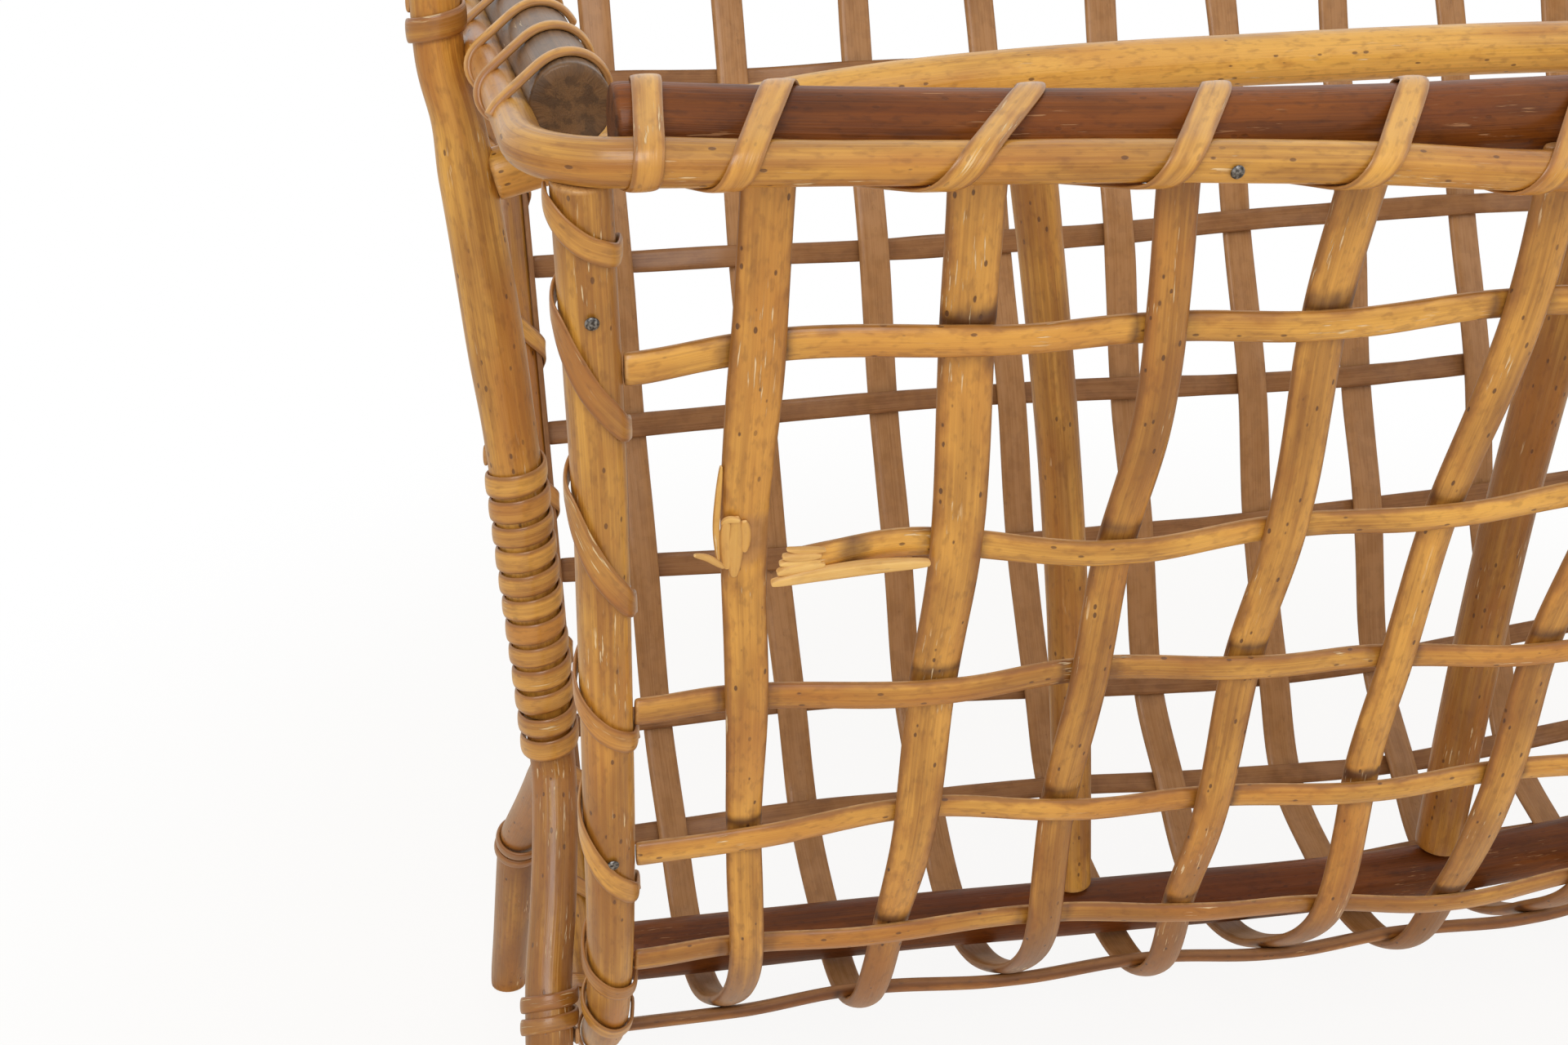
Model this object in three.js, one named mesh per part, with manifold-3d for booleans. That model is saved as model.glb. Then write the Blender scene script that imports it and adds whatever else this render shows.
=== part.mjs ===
// Rattan magazine basket: a woven U-shaped cradle hung between two end posts on splayed legs.
// Millimetres, +Z up, +X to the right along the long side, +Y to the back.
// The origin lies on the floor under the middle of the rim.

import * as THREE from 'three';
import Module from 'manifold-3d';
import { mergeVertices } from 'three/addons/utils/BufferGeometryUtils.js';

const wasm = await Module();
wasm.setup();

// Driving dimensions

const rimHeight = 348;
const basketWidth = 294;
const frontLean = THREE.MathUtils.degToRad(11.5);
const backLean = THREE.MathUtils.degToRad(23.3);
const frontStraight = 206;
const backStraight = 245;
const frontBend = 124;
const backBend = 112;
const rimDish = 9.5;

const ribCount = 9;
const ribPitch = 45;
const ribWidth = 11;
const ribThickness = 4;
const ribRise = 1.2;

const weaverWidth = 7.4;
const bottomWeaverWidth = 5.4;
const weaverThickness = 3.6;
const weaveGap = 0.5;

const endRibSpace = 35.5;
const endFrameX = ribPitch * (ribCount - 1) / 2 + endRibSpace;
const endFrameRadius = 6.5;
const linerWidth = 3.5;
const linerThickness = 1.6;

const longPoleRadius = 9.5;
const sidePoleRadius = 9;
const sidePoleEndY = 114;
const rimCaneRadius = 4.5;
const rimCornerRadius = 22;

const postRadius = 8.6;
const postForward = 4.35;
const postAboveRim = 16;
const postFootShift = 20;
const postBow = 3.5;

const legRadius = 7.4;
const legSplay = 15.3;
const forkDrop = 209;
const jointLength = 19;
const kneeBelowFork = 56;
const kneeReach = 45;
const footReach = 80;

const bottomPoleRadius = 9;
const dividerRailRadius = 7;
const dividerRailDrop = 11.5;
const dividerRailSag = 20;
const leftUprightRadius = 6.4;
const leftUprightBow = 4;
const rightUprightRadius = 8;
const rightUprightBow = -5;

const caneWidth = 6.4;
const caneThickness = 1.1;
const bindingWidth = 6;
const bindingGap = 1.6;
const bindingPitch = bindingWidth + bindingGap;
const sideCaneSize = 3.2;
const sideLashingPitch = 20;

const nailRadius = 1.5;
const nailHeight = 0.9;

const seat = 0.3;
const mergeDistance = seat / 100;

// Places along the weave, as shares of the run from the rim to the lowest point

const frontRowShares = [0.146, 0.322, 0.455, 0.59, 0.735];
const frontBottomRowShares = [0.895];
const backRowShares = [0.137, 0.307, 0.459, 0.595, 0.74];
const backBottomRowShares = [0.845, 0.95];
const brokenWeaver = 'front_weaver_2';
const brokenStartShare = 0.785;

// Places of the uprights' feet and heads, as shares of the rail's half length

const uprightFootShares = { left: -0.245, right: 0.33 };
const uprightHeadShares = { left: -0.388, right: 0.421 };

// Shares of a section: how high a split cane's shoulder stands, and a nail head's flat top

const shoulderShare = 0.1;
const nailTopShare = 0.7;

const materials = {
  honey: { color: 0xc9924f, roughness: 0.5 },
  weave: { color: 0xb98245, roughness: 0.55 },
  inner: { color: 0x9a6a3c, roughness: 0.6 },
  darkPole: { color: 0x73462d, roughness: 0.5 },
  greyPole: { color: 0x786555, roughness: 0.6 },
  lashing: { color: 0xcfa260, roughness: 0.45 },
  steel: { color: 0x6d6f70, roughness: 0.4, metalness: 0.9 },
};

const basket = new THREE.Group();
const acrossX = new THREE.Vector3(1, 0, 0);
const straightBack = new THREE.Vector3(0, 1, 0);
const straightUp = new THREE.Vector3(0, 0, 1);

function addPiece(name, geometry, finish) {
  const mesh = new THREE.Mesh(geometry, new THREE.MeshStandardMaterial(materials[finish]));
  mesh.name = name;
  basket.add(mesh);
  return mesh;
}

// Run is a path through laid points. Its side vector keeps a flat strip from twisting.

class Run extends THREE.Curve {
  constructor(points, side) {
    super();
    this.points = points;
    this.side = side;
  }

  getPoint(t) {
    const place = t * (this.points.length - 1);
    const index = Math.min(Math.floor(place), this.points.length - 2);
    return this.points[index].clone().lerp(this.points[index + 1], place - index);
  }

  getPointAt(u) {
    return this.getPoint(u);
  }

  computeFrenetFrames() {
    const last = this.points.length - 1;
    const tangents = this.points.map((_, i) =>
      this.points[Math.min(i + 1, last)].clone().sub(this.points[Math.max(i - 1, 0)]).normalize());
    const normals = tangents.map((tangent) =>
      this.side.clone().addScaledVector(tangent, -this.side.dot(tangent)).normalize());
    const binormals = tangents.map((tangent, i) => tangent.clone().cross(normals[i]));
    return { tangents, normals, binormals };
  }
}

function sweep(section, points, side) {
  const run = new Run(points, side);
  const steps = points.length - 1;
  return new THREE.ExtrudeGeometry(section, { steps, extrudePath: run, bevelEnabled: false });
}

function roundSection(radius, sides) {
  const corners = [];
  for (let i = 0; i < sides; i += 1) {
    const angle = (i + 0.5) / sides * Math.PI * 2;
    corners.push(new THREE.Vector2(Math.cos(angle), Math.sin(angle)).multiplyScalar(radius));
  }
  return new THREE.Shape(corners);
}

// A split cane: flat on the inside, crowned on the outside. The sign turns the crown round.

function splitCaneSection(width, thickness, crownSign) {
  const half = width / 2;
  const low = -crownSign * thickness / 2;
  const shoulder = crownSign * thickness * shoulderShare;
  const crown = crownSign * thickness / 2;
  return new THREE.Shape([
    new THREE.Vector2(-half, low),
    new THREE.Vector2(half, low),
    new THREE.Vector2(half, shoulder),
    new THREE.Vector2(0, crown),
    new THREE.Vector2(-half, shoulder),
  ]);
}

function flatSection(width, thickness) {
  const w = width / 2;
  const t = thickness / 2;
  return new THREE.Shape([
    new THREE.Vector2(-w, -t), new THREE.Vector2(w, -t), new THREE.Vector2(w, t), new THREE.Vector2(-w, t),
  ]);
}

// Booleans

function toSolid(geometry) {
  const plain = geometry.clone();
  plain.deleteAttribute('normal');
  plain.deleteAttribute('uv');
  const merged = mergeVertices(plain.index ? plain.toNonIndexed() : plain, mergeDistance);
  const vertProperties = Float32Array.from(merged.attributes.position.array);
  const triVerts = Uint32Array.from(merged.index.array);
  return new wasm.Manifold(new wasm.Mesh({ numProp: 3, vertProperties, triVerts }));
}

function toGeometry(solid) {
  const mesh = solid.getMesh();
  const geometry = new THREE.BufferGeometry();
  geometry.setAttribute('position', new THREE.BufferAttribute(Float32Array.from(mesh.vertProperties), 3));
  geometry.setIndex(new THREE.BufferAttribute(Uint32Array.from(mesh.triVerts), 1));
  return geometry;
}

// The U profile of the cradle, measured along the strip from the front rim to the back rim

const frontRimY = -basketWidth / 2;
const frontDown = new THREE.Vector3(0, Math.sin(frontLean), -Math.cos(frontLean));
const backUp = new THREE.Vector3(0, Math.sin(backLean), Math.cos(backLean));
const frontTop = new THREE.Vector3(0, frontRimY, rimHeight);
const backTop = new THREE.Vector3(0, basketWidth / 2, rimHeight);
const bendStart = frontTop.clone().addScaledVector(frontDown, frontStraight);
const bendEnd = backTop.clone().addScaledVector(backUp, -backStraight);
const bottomBend = new THREE.CubicBezierCurve3(
  bendStart,
  bendStart.clone().addScaledVector(frontDown, frontBend),
  bendEnd.clone().addScaledVector(backUp, -backBend),
  bendEnd,
);
const bendLength = bottomBend.getLength();
const profileLength = frontStraight + bendLength + backStraight;

const bendEndS = frontStraight + bendLength;

function smoothProfileAt(s) {
  let point;
  let along;
  if (s <= frontStraight) {
    point = frontTop.clone().addScaledVector(frontDown, s);
    along = frontDown.clone();
  } else if (s >= bendEndS) {
    point = backTop.clone().addScaledVector(backUp, s - profileLength);
    along = backUp.clone();
  } else {
    const share = (s - frontStraight) / bendLength;
    point = bottomBend.getPointAt(share);
    along = bottomBend.getTangentAt(share);
  }
  return { point, along };
}

const bottomSearchSteps = 200;
let lowestS = frontStraight;
for (let i = 0; i <= bottomSearchSteps; i += 1) {
  const s = frontStraight + bendLength * i / bottomSearchSteps;
  if (smoothProfileAt(s).point.z < smoothProfileAt(lowestS).point.z) lowestS = s;
}
const backRun = profileLength - lowestS;
const cradleBottom = smoothProfileAt(lowestS).point;
const postY = cradleBottom.y - postForward;

// Rows of weavers, counted from the front rim round to the back rim

const frontRows = frontRowShares.map((share) => share * lowestS);
const frontBottomRows = frontBottomRowShares.map((share) => share * lowestS);
const backBottomRows = backBottomRowShares.map((share) => profileLength - share * backRun).reverse();
const backRows = backRowShares.map((share) => profileLength - share * backRun).reverse();
const rows = [
  ...frontRows.map((s, i) => ({ s, name: `front_weaver_${i + 1}`, width: weaverWidth })),
  ...frontBottomRows.map((s, i) => ({ s, name: `bottom_weaver_${i + 1}`, width: bottomWeaverWidth })),
  ...backBottomRows.map((s, i) => ({
    s, name: `bottom_weaver_${frontBottomRows.length + i + 1}`, width: bottomWeaverWidth,
  })),
  ...backRows.map((s, i) => ({ s, name: `back_weaver_${backRows.length - i}`, width: weaverWidth })),
];

// Every long strip of the cradle bends at the same stations: at the rows, and between them

const longestChord = 24;

function divideRun(from, to) {
  const parts = Math.ceil((to - from) / longestChord);
  return Array.from({ length: parts }, (_, part) => THREE.MathUtils.lerp(from, to, part / parts));
}

const bendStops = [frontStraight, ...rows.map((row) => row.s), bendEndS]
  .filter((s) => s >= frontStraight && s <= bendEndS)
  .sort((a, b) => a - b);
const bendStations = bendStops.slice(1).flatMap((s, i) => divideRun(bendStops[i], s));
bendStations.push(bendEndS);

function profileAt(s) {
  let place = smoothProfileAt(s);
  if (s > frontStraight && s < bendEndS) {
    const next = bendStations.findIndex((station) => station >= s);
    const from = bendStations[next - 1];
    const share = (s - from) / (bendStations[next] - from);
    const a = smoothProfileAt(from);
    const b = smoothProfileAt(bendStations[next]);
    place = { point: a.point.lerp(b.point, share), along: a.along.lerp(b.along, share).normalize() };
  }
  return { ...place, inward: acrossX.clone().cross(place.along) };
}

function cradlePoint(s, x, inset) {
  const place = profileAt(s);
  return place.point.addScaledVector(place.inward, inset).setX(x);
}

function ribX(i) {
  return (i - (ribCount + 1) / 2) * ribPitch;
}

function weaverIsOutside(rib, row) {
  return (rib + row) % 2 === 1;
}

const weaverRise = ribThickness / 2 + weaverThickness / 2 + weaveGap - ribRise;

// Ribs: one split cane each, from the front rim under the bottom to the back rim

const ribTopAboveCane = 3.5;
const sideCaneX = endFrameX + sidePoleRadius + seat + rimCaneRadius;
const rimCornerX = sideCaneX - rimCornerRadius;

function rimDrop(x) {
  return rimDish * Math.max(0, 1 - (x / rimCornerX) ** 2);
}

function addRib(i) {
  const x = ribX(i);
  const stops = [
    { s: rimDrop(x) - ribTopAboveCane, inset: 0 },
    ...rows.map((row, index) => ({ s: row.s, inset: weaverIsOutside(i, index + 1) ? ribRise : -ribRise })),
    { s: profileLength - rimDrop(x) + ribTopAboveCane, inset: 0 },
  ];
  const places = [...new Set([...stops.map((stop) => stop.s), ...bendStations])].sort((a, b) => a - b);
  const points = places.map((s) => {
    const next = Math.max(1, stops.findIndex((stop) => stop.s >= s));
    const before = stops[next - 1];
    const inset = THREE.MathUtils.mapLinear(s, before.s, stops[next].s, before.inset, stops[next].inset);
    return cradlePoint(s, x, inset);
  });
  addPiece(`rib_${i}`, sweep(splitCaneSection(ribWidth, ribThickness, 1), points, acrossX), 'weave');
}

for (let i = 1; i <= ribCount; i += 1) addRib(i);

// Weavers: split canes that pass outside one rib and inside the next, butted on the end frames

const plateauMargin = 1.5;
const plateau = ribWidth / 2 + plateauMargin;
const weaverEndX = endFrameX - endFrameRadius - seat;
const weaverEndInset = -1;

function addWeaver(row, rowNumber) {
  const side = profileAt(row.s).along;
  const points = [cradlePoint(row.s, -weaverEndX, weaverEndInset)];
  for (let i = 1; i <= ribCount; i += 1) {
    const inset = weaverIsOutside(i, rowNumber) ? -weaverRise : weaverRise;
    points.push(cradlePoint(row.s, ribX(i) - plateau, inset));
    points.push(cradlePoint(row.s, ribX(i) + plateau, inset));
  }
  points.push(cradlePoint(row.s, weaverEndX, weaverEndInset));
  if (row.name === brokenWeaver) {
    points.splice(0, 3, cradlePoint(row.s, -brokenStartShare * endFrameX, -weaverRise));
  }
  const finish = row.name.startsWith('front') ? 'honey' : 'inner';
  addPiece(row.name, sweep(splitCaneSection(row.width, weaverThickness, -1), points, side), finish);
}

rows.forEach((row, index) => addWeaver(row, index + 1));

// Rim: a dark pole inside the rib ends, a light cane outside them, and a pole along each end

const longPoleInset = ribThickness / 2 + seat + longPoleRadius;
const rimCaneInset = -(ribThickness / 2 + seat + rimCaneRadius);
const longPoleEndX = endFrameX - endFrameRadius - seat;
const longSteps = 10;

function longSidePoints(atBack, endX, inset, steps) {
  const points = [];
  for (let i = 0; i <= steps; i += 1) {
    const x = THREE.MathUtils.lerp(-endX, endX, i / steps);
    const s = atBack ? profileLength - rimDrop(x) : rimDrop(x);
    points.push(cradlePoint(s, x, inset));
  }
  return points;
}

function addLongPole(name, atBack, finish) {
  const points = longSidePoints(atBack, longPoleEndX, longPoleInset, longSteps);
  addPiece(name, sweep(roundSection(longPoleRadius, 10), points, straightUp), finish);
}

addLongPole('front_top_pole', false, 'darkPole');
addLongPole('back_top_pole', true, 'darkPole');

const frontCane = cradlePoint(0, 0, rimCaneInset);
const backCane = cradlePoint(profileLength, 0, rimCaneInset);
const cornerSteps = 5;
const scarfGap = 0.5;

function cornerPoints(side, atBack) {
  const cx = side * rimCornerX;
  const cy = atBack ? backCane.y - rimCornerRadius : frontCane.y + rimCornerRadius;
  const { z } = atBack ? backCane : frontCane;
  const points = [];
  for (let i = 0; i <= cornerSteps; i += 1) {
    const angle = i / cornerSteps * Math.PI / 2;
    const out = rimCornerRadius * Math.sin(angle);
    const along = rimCornerRadius * Math.cos(angle);
    points.push(new THREE.Vector3(cx + side * along, cy + (atBack ? out : -out), z));
  }
  return points;
}

function addRimCane() {
  const front = longSidePoints(false, rimCornerX, rimCaneInset, longSteps).slice(1, -1);
  const back = longSidePoints(true, rimCornerX, rimCaneInset, longSteps).slice(1, -1);
  const middle = (back.length - 1) / 2;
  const leftBack = back.slice(0, middle + 1).reverse();
  const rightBack = back.slice(middle).reverse();
  leftBack[0] = leftBack[0].clone().setX(-scarfGap / 2);
  rightBack[rightBack.length - 1] = rightBack[rightBack.length - 1].clone().setX(scarfGap / 2);
  const points = [
    ...leftBack,
    ...cornerPoints(-1, true).reverse(),
    ...cornerPoints(-1, false),
    ...front,
    ...cornerPoints(1, false).reverse(),
    ...cornerPoints(1, true),
    ...rightBack,
  ];
  addPiece('rim_cane', sweep(roundSection(rimCaneRadius, 8), points, straightUp), 'honey');
}

addRimCane();

// The side poles end short of the rim cane's bends

function addSidePole(name, side) {
  const points = [-1, 1].map((end) => new THREE.Vector3(side * endFrameX, end * sidePoleEndY, rimHeight));
  addPiece(name, sweep(roundSection(sidePoleRadius, 10), points, straightUp), 'greyPole');
}

addSidePole('left_top_pole', -1);
addSidePole('right_top_pole', 1);

// End frames: a thick cane bent to the U under the rim cane, with a thin liner along its inner side

function frameTop(cane, lean) {
  const reach = rimHeight - cane.z + rimCaneRadius + seat;
  return (reach + endFrameRadius * Math.sin(lean)) / Math.cos(lean);
}

const frontFrameTop = frameTop(frontCane, frontLean);
const backFrameTop = frameTop(backCane, backLean);
const linerInset = 3;
const linerTopDrop = 8;
const linerX = endFrameX - endFrameRadius - seat - linerWidth / 2;

function cradleRunPoints(x, inset, below) {
  const ends = [frontFrameTop + below, profileLength - backFrameTop - below];
  return [ends[0], ...bendStations, ends[1]].map((s) => cradlePoint(s, x, inset));
}

function addEndFrame(label, side) {
  const framePoints = cradleRunPoints(side * endFrameX, 0, 0);
  addPiece(`${label}_end_frame`, sweep(roundSection(endFrameRadius, 8), framePoints, acrossX), 'honey');
  const linerPoints = cradleRunPoints(side * linerX, linerInset, linerTopDrop);
  const liner = sweep(flatSection(linerWidth, linerThickness), linerPoints, acrossX);
  addPiece(`${label}_end_liner`, liner, 'inner');
}

addEndFrame('left', -1);
addEndFrame('right', 1);

// Divider: a pole on the bottom ribs, two uprights and a rail between the end posts

const bottomPoleZ = cradleBottom.z + ribThickness / 2 + ribRise + seat * 2 + bottomPoleRadius;
const bottomPoleEndX = linerX - linerWidth / 2 - caneThickness - seat * 3;
const bottomPoleEnds = [-1, 1].map((side) => new THREE.Vector3(side * bottomPoleEndX, postY, bottomPoleZ));
addPiece('bottom_pole', sweep(roundSection(bottomPoleRadius, 10), bottomPoleEnds, straightUp), 'darkPole');

const postTopZ = rimHeight + postAboveRim;
const postLeanZ = rimHeight - rimCaneRadius * 2;
const forkZ = rimHeight - forkDrop;
const kneeZ = forkZ - kneeBelowFork;
const postEndZ = forkZ + jointLength;
const postSteps = 6;
const postTopX = sideCaneX + rimCaneRadius + seat + postRadius;

function bowedPostX(z) {
  const share = (postLeanZ - z) / (postLeanZ - forkZ);
  return postTopX - postFootShift * share - postBow * Math.sin(Math.PI * share);
}

const postStations = [{ z: postTopZ, x: postTopX }];
for (let i = 0; i <= postSteps; i += 1) {
  const z = THREE.MathUtils.lerp(postLeanZ, forkZ, i / postSteps);
  postStations.push({ z, x: bowedPostX(z) });
}

function postX(z) {
  const above = postStations.findLast((station) => station.z >= z) ?? postStations[0];
  const below = postStations.find((station) => station.z < z) ?? postStations.at(-1);
  if (above === below) return above.x;
  return THREE.MathUtils.mapLinear(z, above.z, below.z, above.x, below.x);
}

const railSteps = 12;
const railCurvePower = 3;

function railZ(x, endX) {
  return rimHeight - dividerRailDrop - dividerRailSag * Math.abs(x / endX) ** railCurvePower;
}

const railEndZ = rimHeight - dividerRailDrop - dividerRailSag;
const railEndX = postX(railEndZ) - postRadius - seat;
const railPoints = [];
for (let i = 0; i <= railSteps; i += 1) {
  const x = THREE.MathUtils.lerp(-railEndX, railEndX, i / railSteps);
  railPoints.push(new THREE.Vector3(x, postY, railZ(x, railEndX)));
}
addPiece('divider_rail', sweep(roundSection(dividerRailRadius, 8), railPoints, straightUp), 'honey');

// Each upright stands on the bottom pole, leans, and bows sideways on its way up to the rail

const uprightSteps = 6;

function addUpright(label, radius, bow) {
  const footX = uprightFootShares[label] * railEndX;
  const headX = uprightHeadShares[label] * railEndX;
  const footZ = bottomPoleZ + bottomPoleRadius + seat;
  const endBow = bow * uprightSteps * Math.sin(Math.PI / uprightSteps);
  const footSlope = Math.abs(headX - footX + endBow) / (rimHeight - footZ);
  const headSlope = Math.abs(headX - footX - endBow) / (rimHeight - footZ);
  const headZ = railZ(headX, railEndX) - dividerRailRadius - seat - radius * headSlope;
  const points = [];
  for (let i = 0; i <= uprightSteps; i += 1) {
    const share = i / uprightSteps;
    const x = THREE.MathUtils.lerp(footX, headX, share) + bow * Math.sin(Math.PI * share);
    points.push(new THREE.Vector3(x, postY, THREE.MathUtils.lerp(footZ + radius * footSlope, headZ, share)));
  }
  addPiece(`divider_upright_${label}`, sweep(roundSection(radius, 8), points, acrossX), 'honey');
}

addUpright('left', leftUprightRadius, leftUprightBow);
addUpright('right', rightUprightRadius, rightUprightBow);

// End posts and the legs that fork from them

function addPost(label, side) {
  const heights = postStations.map((station) => station.z).filter((z) => z > postEndZ);
  heights.push(postEndZ);
  const points = heights.map((z) => new THREE.Vector3(side * postX(z), postY, z));
  addPiece(`${label}_end_post`, sweep(roundSection(postRadius, 10), points, acrossX), 'honey');
}

const legX = postX(forkZ) + legSplay;
const legTopReach = 2;
const forkLength = 12;
const forkSplay = 2;
const kneeLength = 10;
const kneeSplay = 1.5;
const kneeBendIndex = 3;
const footLength = 6;

function legPath(side, back) {
  const reach = (amount) => postY + back * amount;
  const towardKnee = (kneeReach - legTopReach) / -kneeBelowFork;
  const legTopZ = postEndZ - seat * 2;
  return [
    new THREE.Vector3(side * postX(legTopZ), reach(legTopReach), legTopZ),
    new THREE.Vector3(side * postX(forkZ), reach(legTopReach), forkZ),
    new THREE.Vector3(
      side * (postX(forkZ) + forkSplay), reach(legTopReach - towardKnee * forkLength), forkZ - forkLength,
    ),
    new THREE.Vector3(
      side * (legX - kneeSplay), reach(kneeReach + towardKnee * kneeLength), kneeZ + kneeLength,
    ),
    new THREE.Vector3(side * legX, reach(kneeReach + kneeLength / 2), kneeZ - kneeLength),
    new THREE.Vector3(side * legX, reach(footReach - footLength / 3), footLength),
    new THREE.Vector3(side * legX, reach(footReach - footLength / 3), 0),
  ];
}

function addLeg(name, side, back) {
  const leg = sweep(roundSection(legRadius, 8), legPath(side, back), acrossX);
  const reach = kneeReach;
  const otherHalf = new THREE.BoxGeometry(reach, reach, forkDrop);
  otherHalf.translate(side * postX(forkZ), postY - back * (reach / 2 - seat / 2), forkZ);
  addPiece(name, toGeometry(toSolid(leg).subtract(toSolid(otherHalf))), 'honey');
}

addPost('left', -1);
addPost('right', 1);
addLeg('front_left_leg', -1, -1);
addLeg('back_left_leg', -1, 1);
addLeg('front_right_leg', 1, -1);
addLeg('back_right_leg', 1, 1);

// Windings. A girdle is the polygon that closes round a bundle of canes, one corner per step.
// Every round is a circle {u, v, r} in the plane across the bundle.

function girdle(rounds, steps, standoff) {
  const supports = [];
  for (let i = 0; i < steps; i += 1) {
    const angle = i / steps * Math.PI * 2;
    const du = Math.cos(angle);
    const dv = Math.sin(angle);
    const reach = Math.max(...rounds.map(({ u, v, r }) => u * du + v * dv + r)) + standoff;
    supports.push({ du, dv, reach });
  }
  return supports.map((a, i) => {
    const b = supports[(i + 1) % steps];
    const cross = a.du * b.dv - a.dv * b.du;
    const angle = (i + 0.5) / steps * Math.PI * 2;
    return {
      u: (a.reach * b.dv - b.reach * a.dv) / cross,
      v: (b.reach * a.du - a.reach * b.du) / cross,
      outU: Math.cos(angle),
      outV: Math.sin(angle),
    };
  });
}

// A winding is one strip folded over the corners of its girdle. Each corner holds its point, the
// way out of the bundle and the way along it.

function stripGeometry(corners, width, thickness, steps) {
  const positions = [];
  const last = corners.length - 1;
  const fold = thickness / 2 / Math.cos(Math.PI / steps);
  corners.forEach(({ point, out, axis }, i) => {
    const ahead = corners[Math.min(i + 1, last)].point;
    const behind = corners[Math.max(i - 1, 0)].point;
    const along = ahead.clone().sub(behind).normalize();
    const across = along.dot(out.clone().cross(axis)) > 0 ? axis.clone() : axis.clone().negate();
    const slant = Math.sqrt(1 - along.dot(axis) ** 2);
    const half = width / 2 / slant;
    [[-1, -1], [1, -1], [1, 1], [-1, 1]].forEach(([w, t]) => {
      const edge = point.clone().addScaledVector(across, w * half).addScaledVector(out, t * fold);
      positions.push(edge.x, edge.y, edge.z);
    });
  });
  const index = [];
  for (let i = 0; i < last; i += 1) {
    for (let k = 0; k < 4; k += 1) {
      const a = i * 4 + k;
      const b = i * 4 + (k + 1) % 4;
      if (k < 2) index.push(a, a + 4, b, b, a + 4, b + 4);
      else index.push(a, a + 4, b + 4, a, b + 4, b);
    }
  }
  const end = last * 4;
  index.push(0, 1, 2, 0, 2, 3);
  index.push(end, end + 2, end + 1, end, end + 3, end + 2);
  const geometry = new THREE.BufferGeometry();
  geometry.setAttribute('position', new THREE.Float32BufferAttribute(positions, 3));
  geometry.setIndex(index);
  return geometry;
}

function leastSelfGap(geometry, stepsPerLoop) {
  const edges = geometry.attributes.position;
  const a = new THREE.Vector3();
  const b = new THREE.Vector3();
  const apart = (stepsPerLoop - 1) * 4;
  let least = Infinity;
  for (let i = 0; i < edges.count; i += 1) {
    a.fromBufferAttribute(edges, i);
    for (let j = i + apart; j < edges.count; j += 1) {
      least = Math.min(least, a.distanceTo(b.fromBufferAttribute(edges, j)));
    }
  }
  return least;
}

function addWinding(name, corners, width, thickness, stepsPerLoop) {
  const geometry = stripGeometry(corners, width, thickness, stepsPerLoop);
  addPiece(name, geometry, 'lashing');
  console.log(`${name}: least gap to itself ${leastSelfGap(geometry, stepsPerLoop).toFixed(2)} mm`);
}

// Rim lashings: the cane passes under the rim beside each rib and over the top of it

const rimSteps = 10;
const bendAllowance = 0.35;
const rimStandoff = seat + bendAllowance + caneThickness / 2;
const overTopShift = 5;
const underShift = 17;
const endTurnX = longPoleEndX - caneWidth * 0.8;
const endUnderShift = 3;
const lastUnderShift = 5;

function rimTurns() {
  const turns = [{ under: -endTurnX - endUnderShift, over: -endTurnX }];
  for (let i = 1; i <= ribCount; i += 1) {
    turns.push({ under: ribX(i) - underShift, over: ribX(i) + overTopShift });
  }
  turns.push({ under: endTurnX - lastUnderShift, over: endTurnX });
  return turns;
}

function addRimLashing(name, atBack) {
  const rounds = [
    { u: longPoleInset, v: 0, r: longPoleRadius },
    { u: rimCaneInset, v: 0, r: rimCaneRadius },
  ];
  const corners = [];
  const outline = girdle(rounds, rimSteps, rimStandoff);
  const turns = rimTurns();
  const half = rimSteps / 2;
  turns.forEach((turn, t) => {
    const next = turns[t + 1] ?? { under: turn.over + endUnderShift };
    for (let k = 0; k < rimSteps; k += 1) {
      const rising = k < half;
      const share = (k % half + 0.5) / half;
      const x = rising
        ? THREE.MathUtils.lerp(turn.under, turn.over, share)
        : THREE.MathUtils.lerp(turn.over, next.under, share);
      const quarter = Math.round(rimSteps * 0.75);
      const corner = outline[(quarter - 1 - k + rimSteps * 2) % rimSteps];
      const s = rimDrop(x) - corner.v;
      const place = profileAt(atBack ? profileLength - s : s);
      const point = place.point.clone().addScaledVector(place.inward, corner.u).setX(x);
      const upSlope = place.along.clone().multiplyScalar(atBack ? 1 : -1);
      const out = place.inward.clone().multiplyScalar(corner.outU).addScaledVector(upSlope, corner.outV);
      corners.push({ point, out, axis: acrossX });
    }
  });
  addWinding(name, corners, caneWidth, caneThickness, rimSteps);
}

addRimLashing('front_rim_lashing', false);
addRimLashing('back_rim_lashing', true);

// Side lashings: thin cane round the side pole and the rim cane, before and behind the post

const sideSteps = 8;
const lashingEndGap = 6;
const postClearance = 4;

function addSideLashing(name, side, startY, endY) {
  const loops = Math.floor((endY - startY) / sideLashingPitch);
  const corners = [];
  for (let k = 0; k <= loops * sideSteps; k += 1) {
    const y = startY + k / sideSteps * sideLashingPitch;
    const caneZ = THREE.MathUtils.mapLinear(y, frontCane.y, backCane.y, frontCane.z, backCane.z);
    const rounds = [
      { u: endFrameX, v: 0, r: sidePoleRadius },
      { u: sideCaneX, v: caneZ - rimHeight, r: rimCaneRadius },
    ];
    const corner = girdle(rounds, sideSteps, seat + sideCaneSize / 2)[k % sideSteps];
    const point = new THREE.Vector3(side * corner.u, y, rimHeight + corner.v);
    const out = new THREE.Vector3(side * corner.outU, 0, corner.outV);
    corners.push({ point, out, axis: straightBack });
  }
  addWinding(name, corners, sideCaneSize, sideCaneSize, sideSteps);
}

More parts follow.
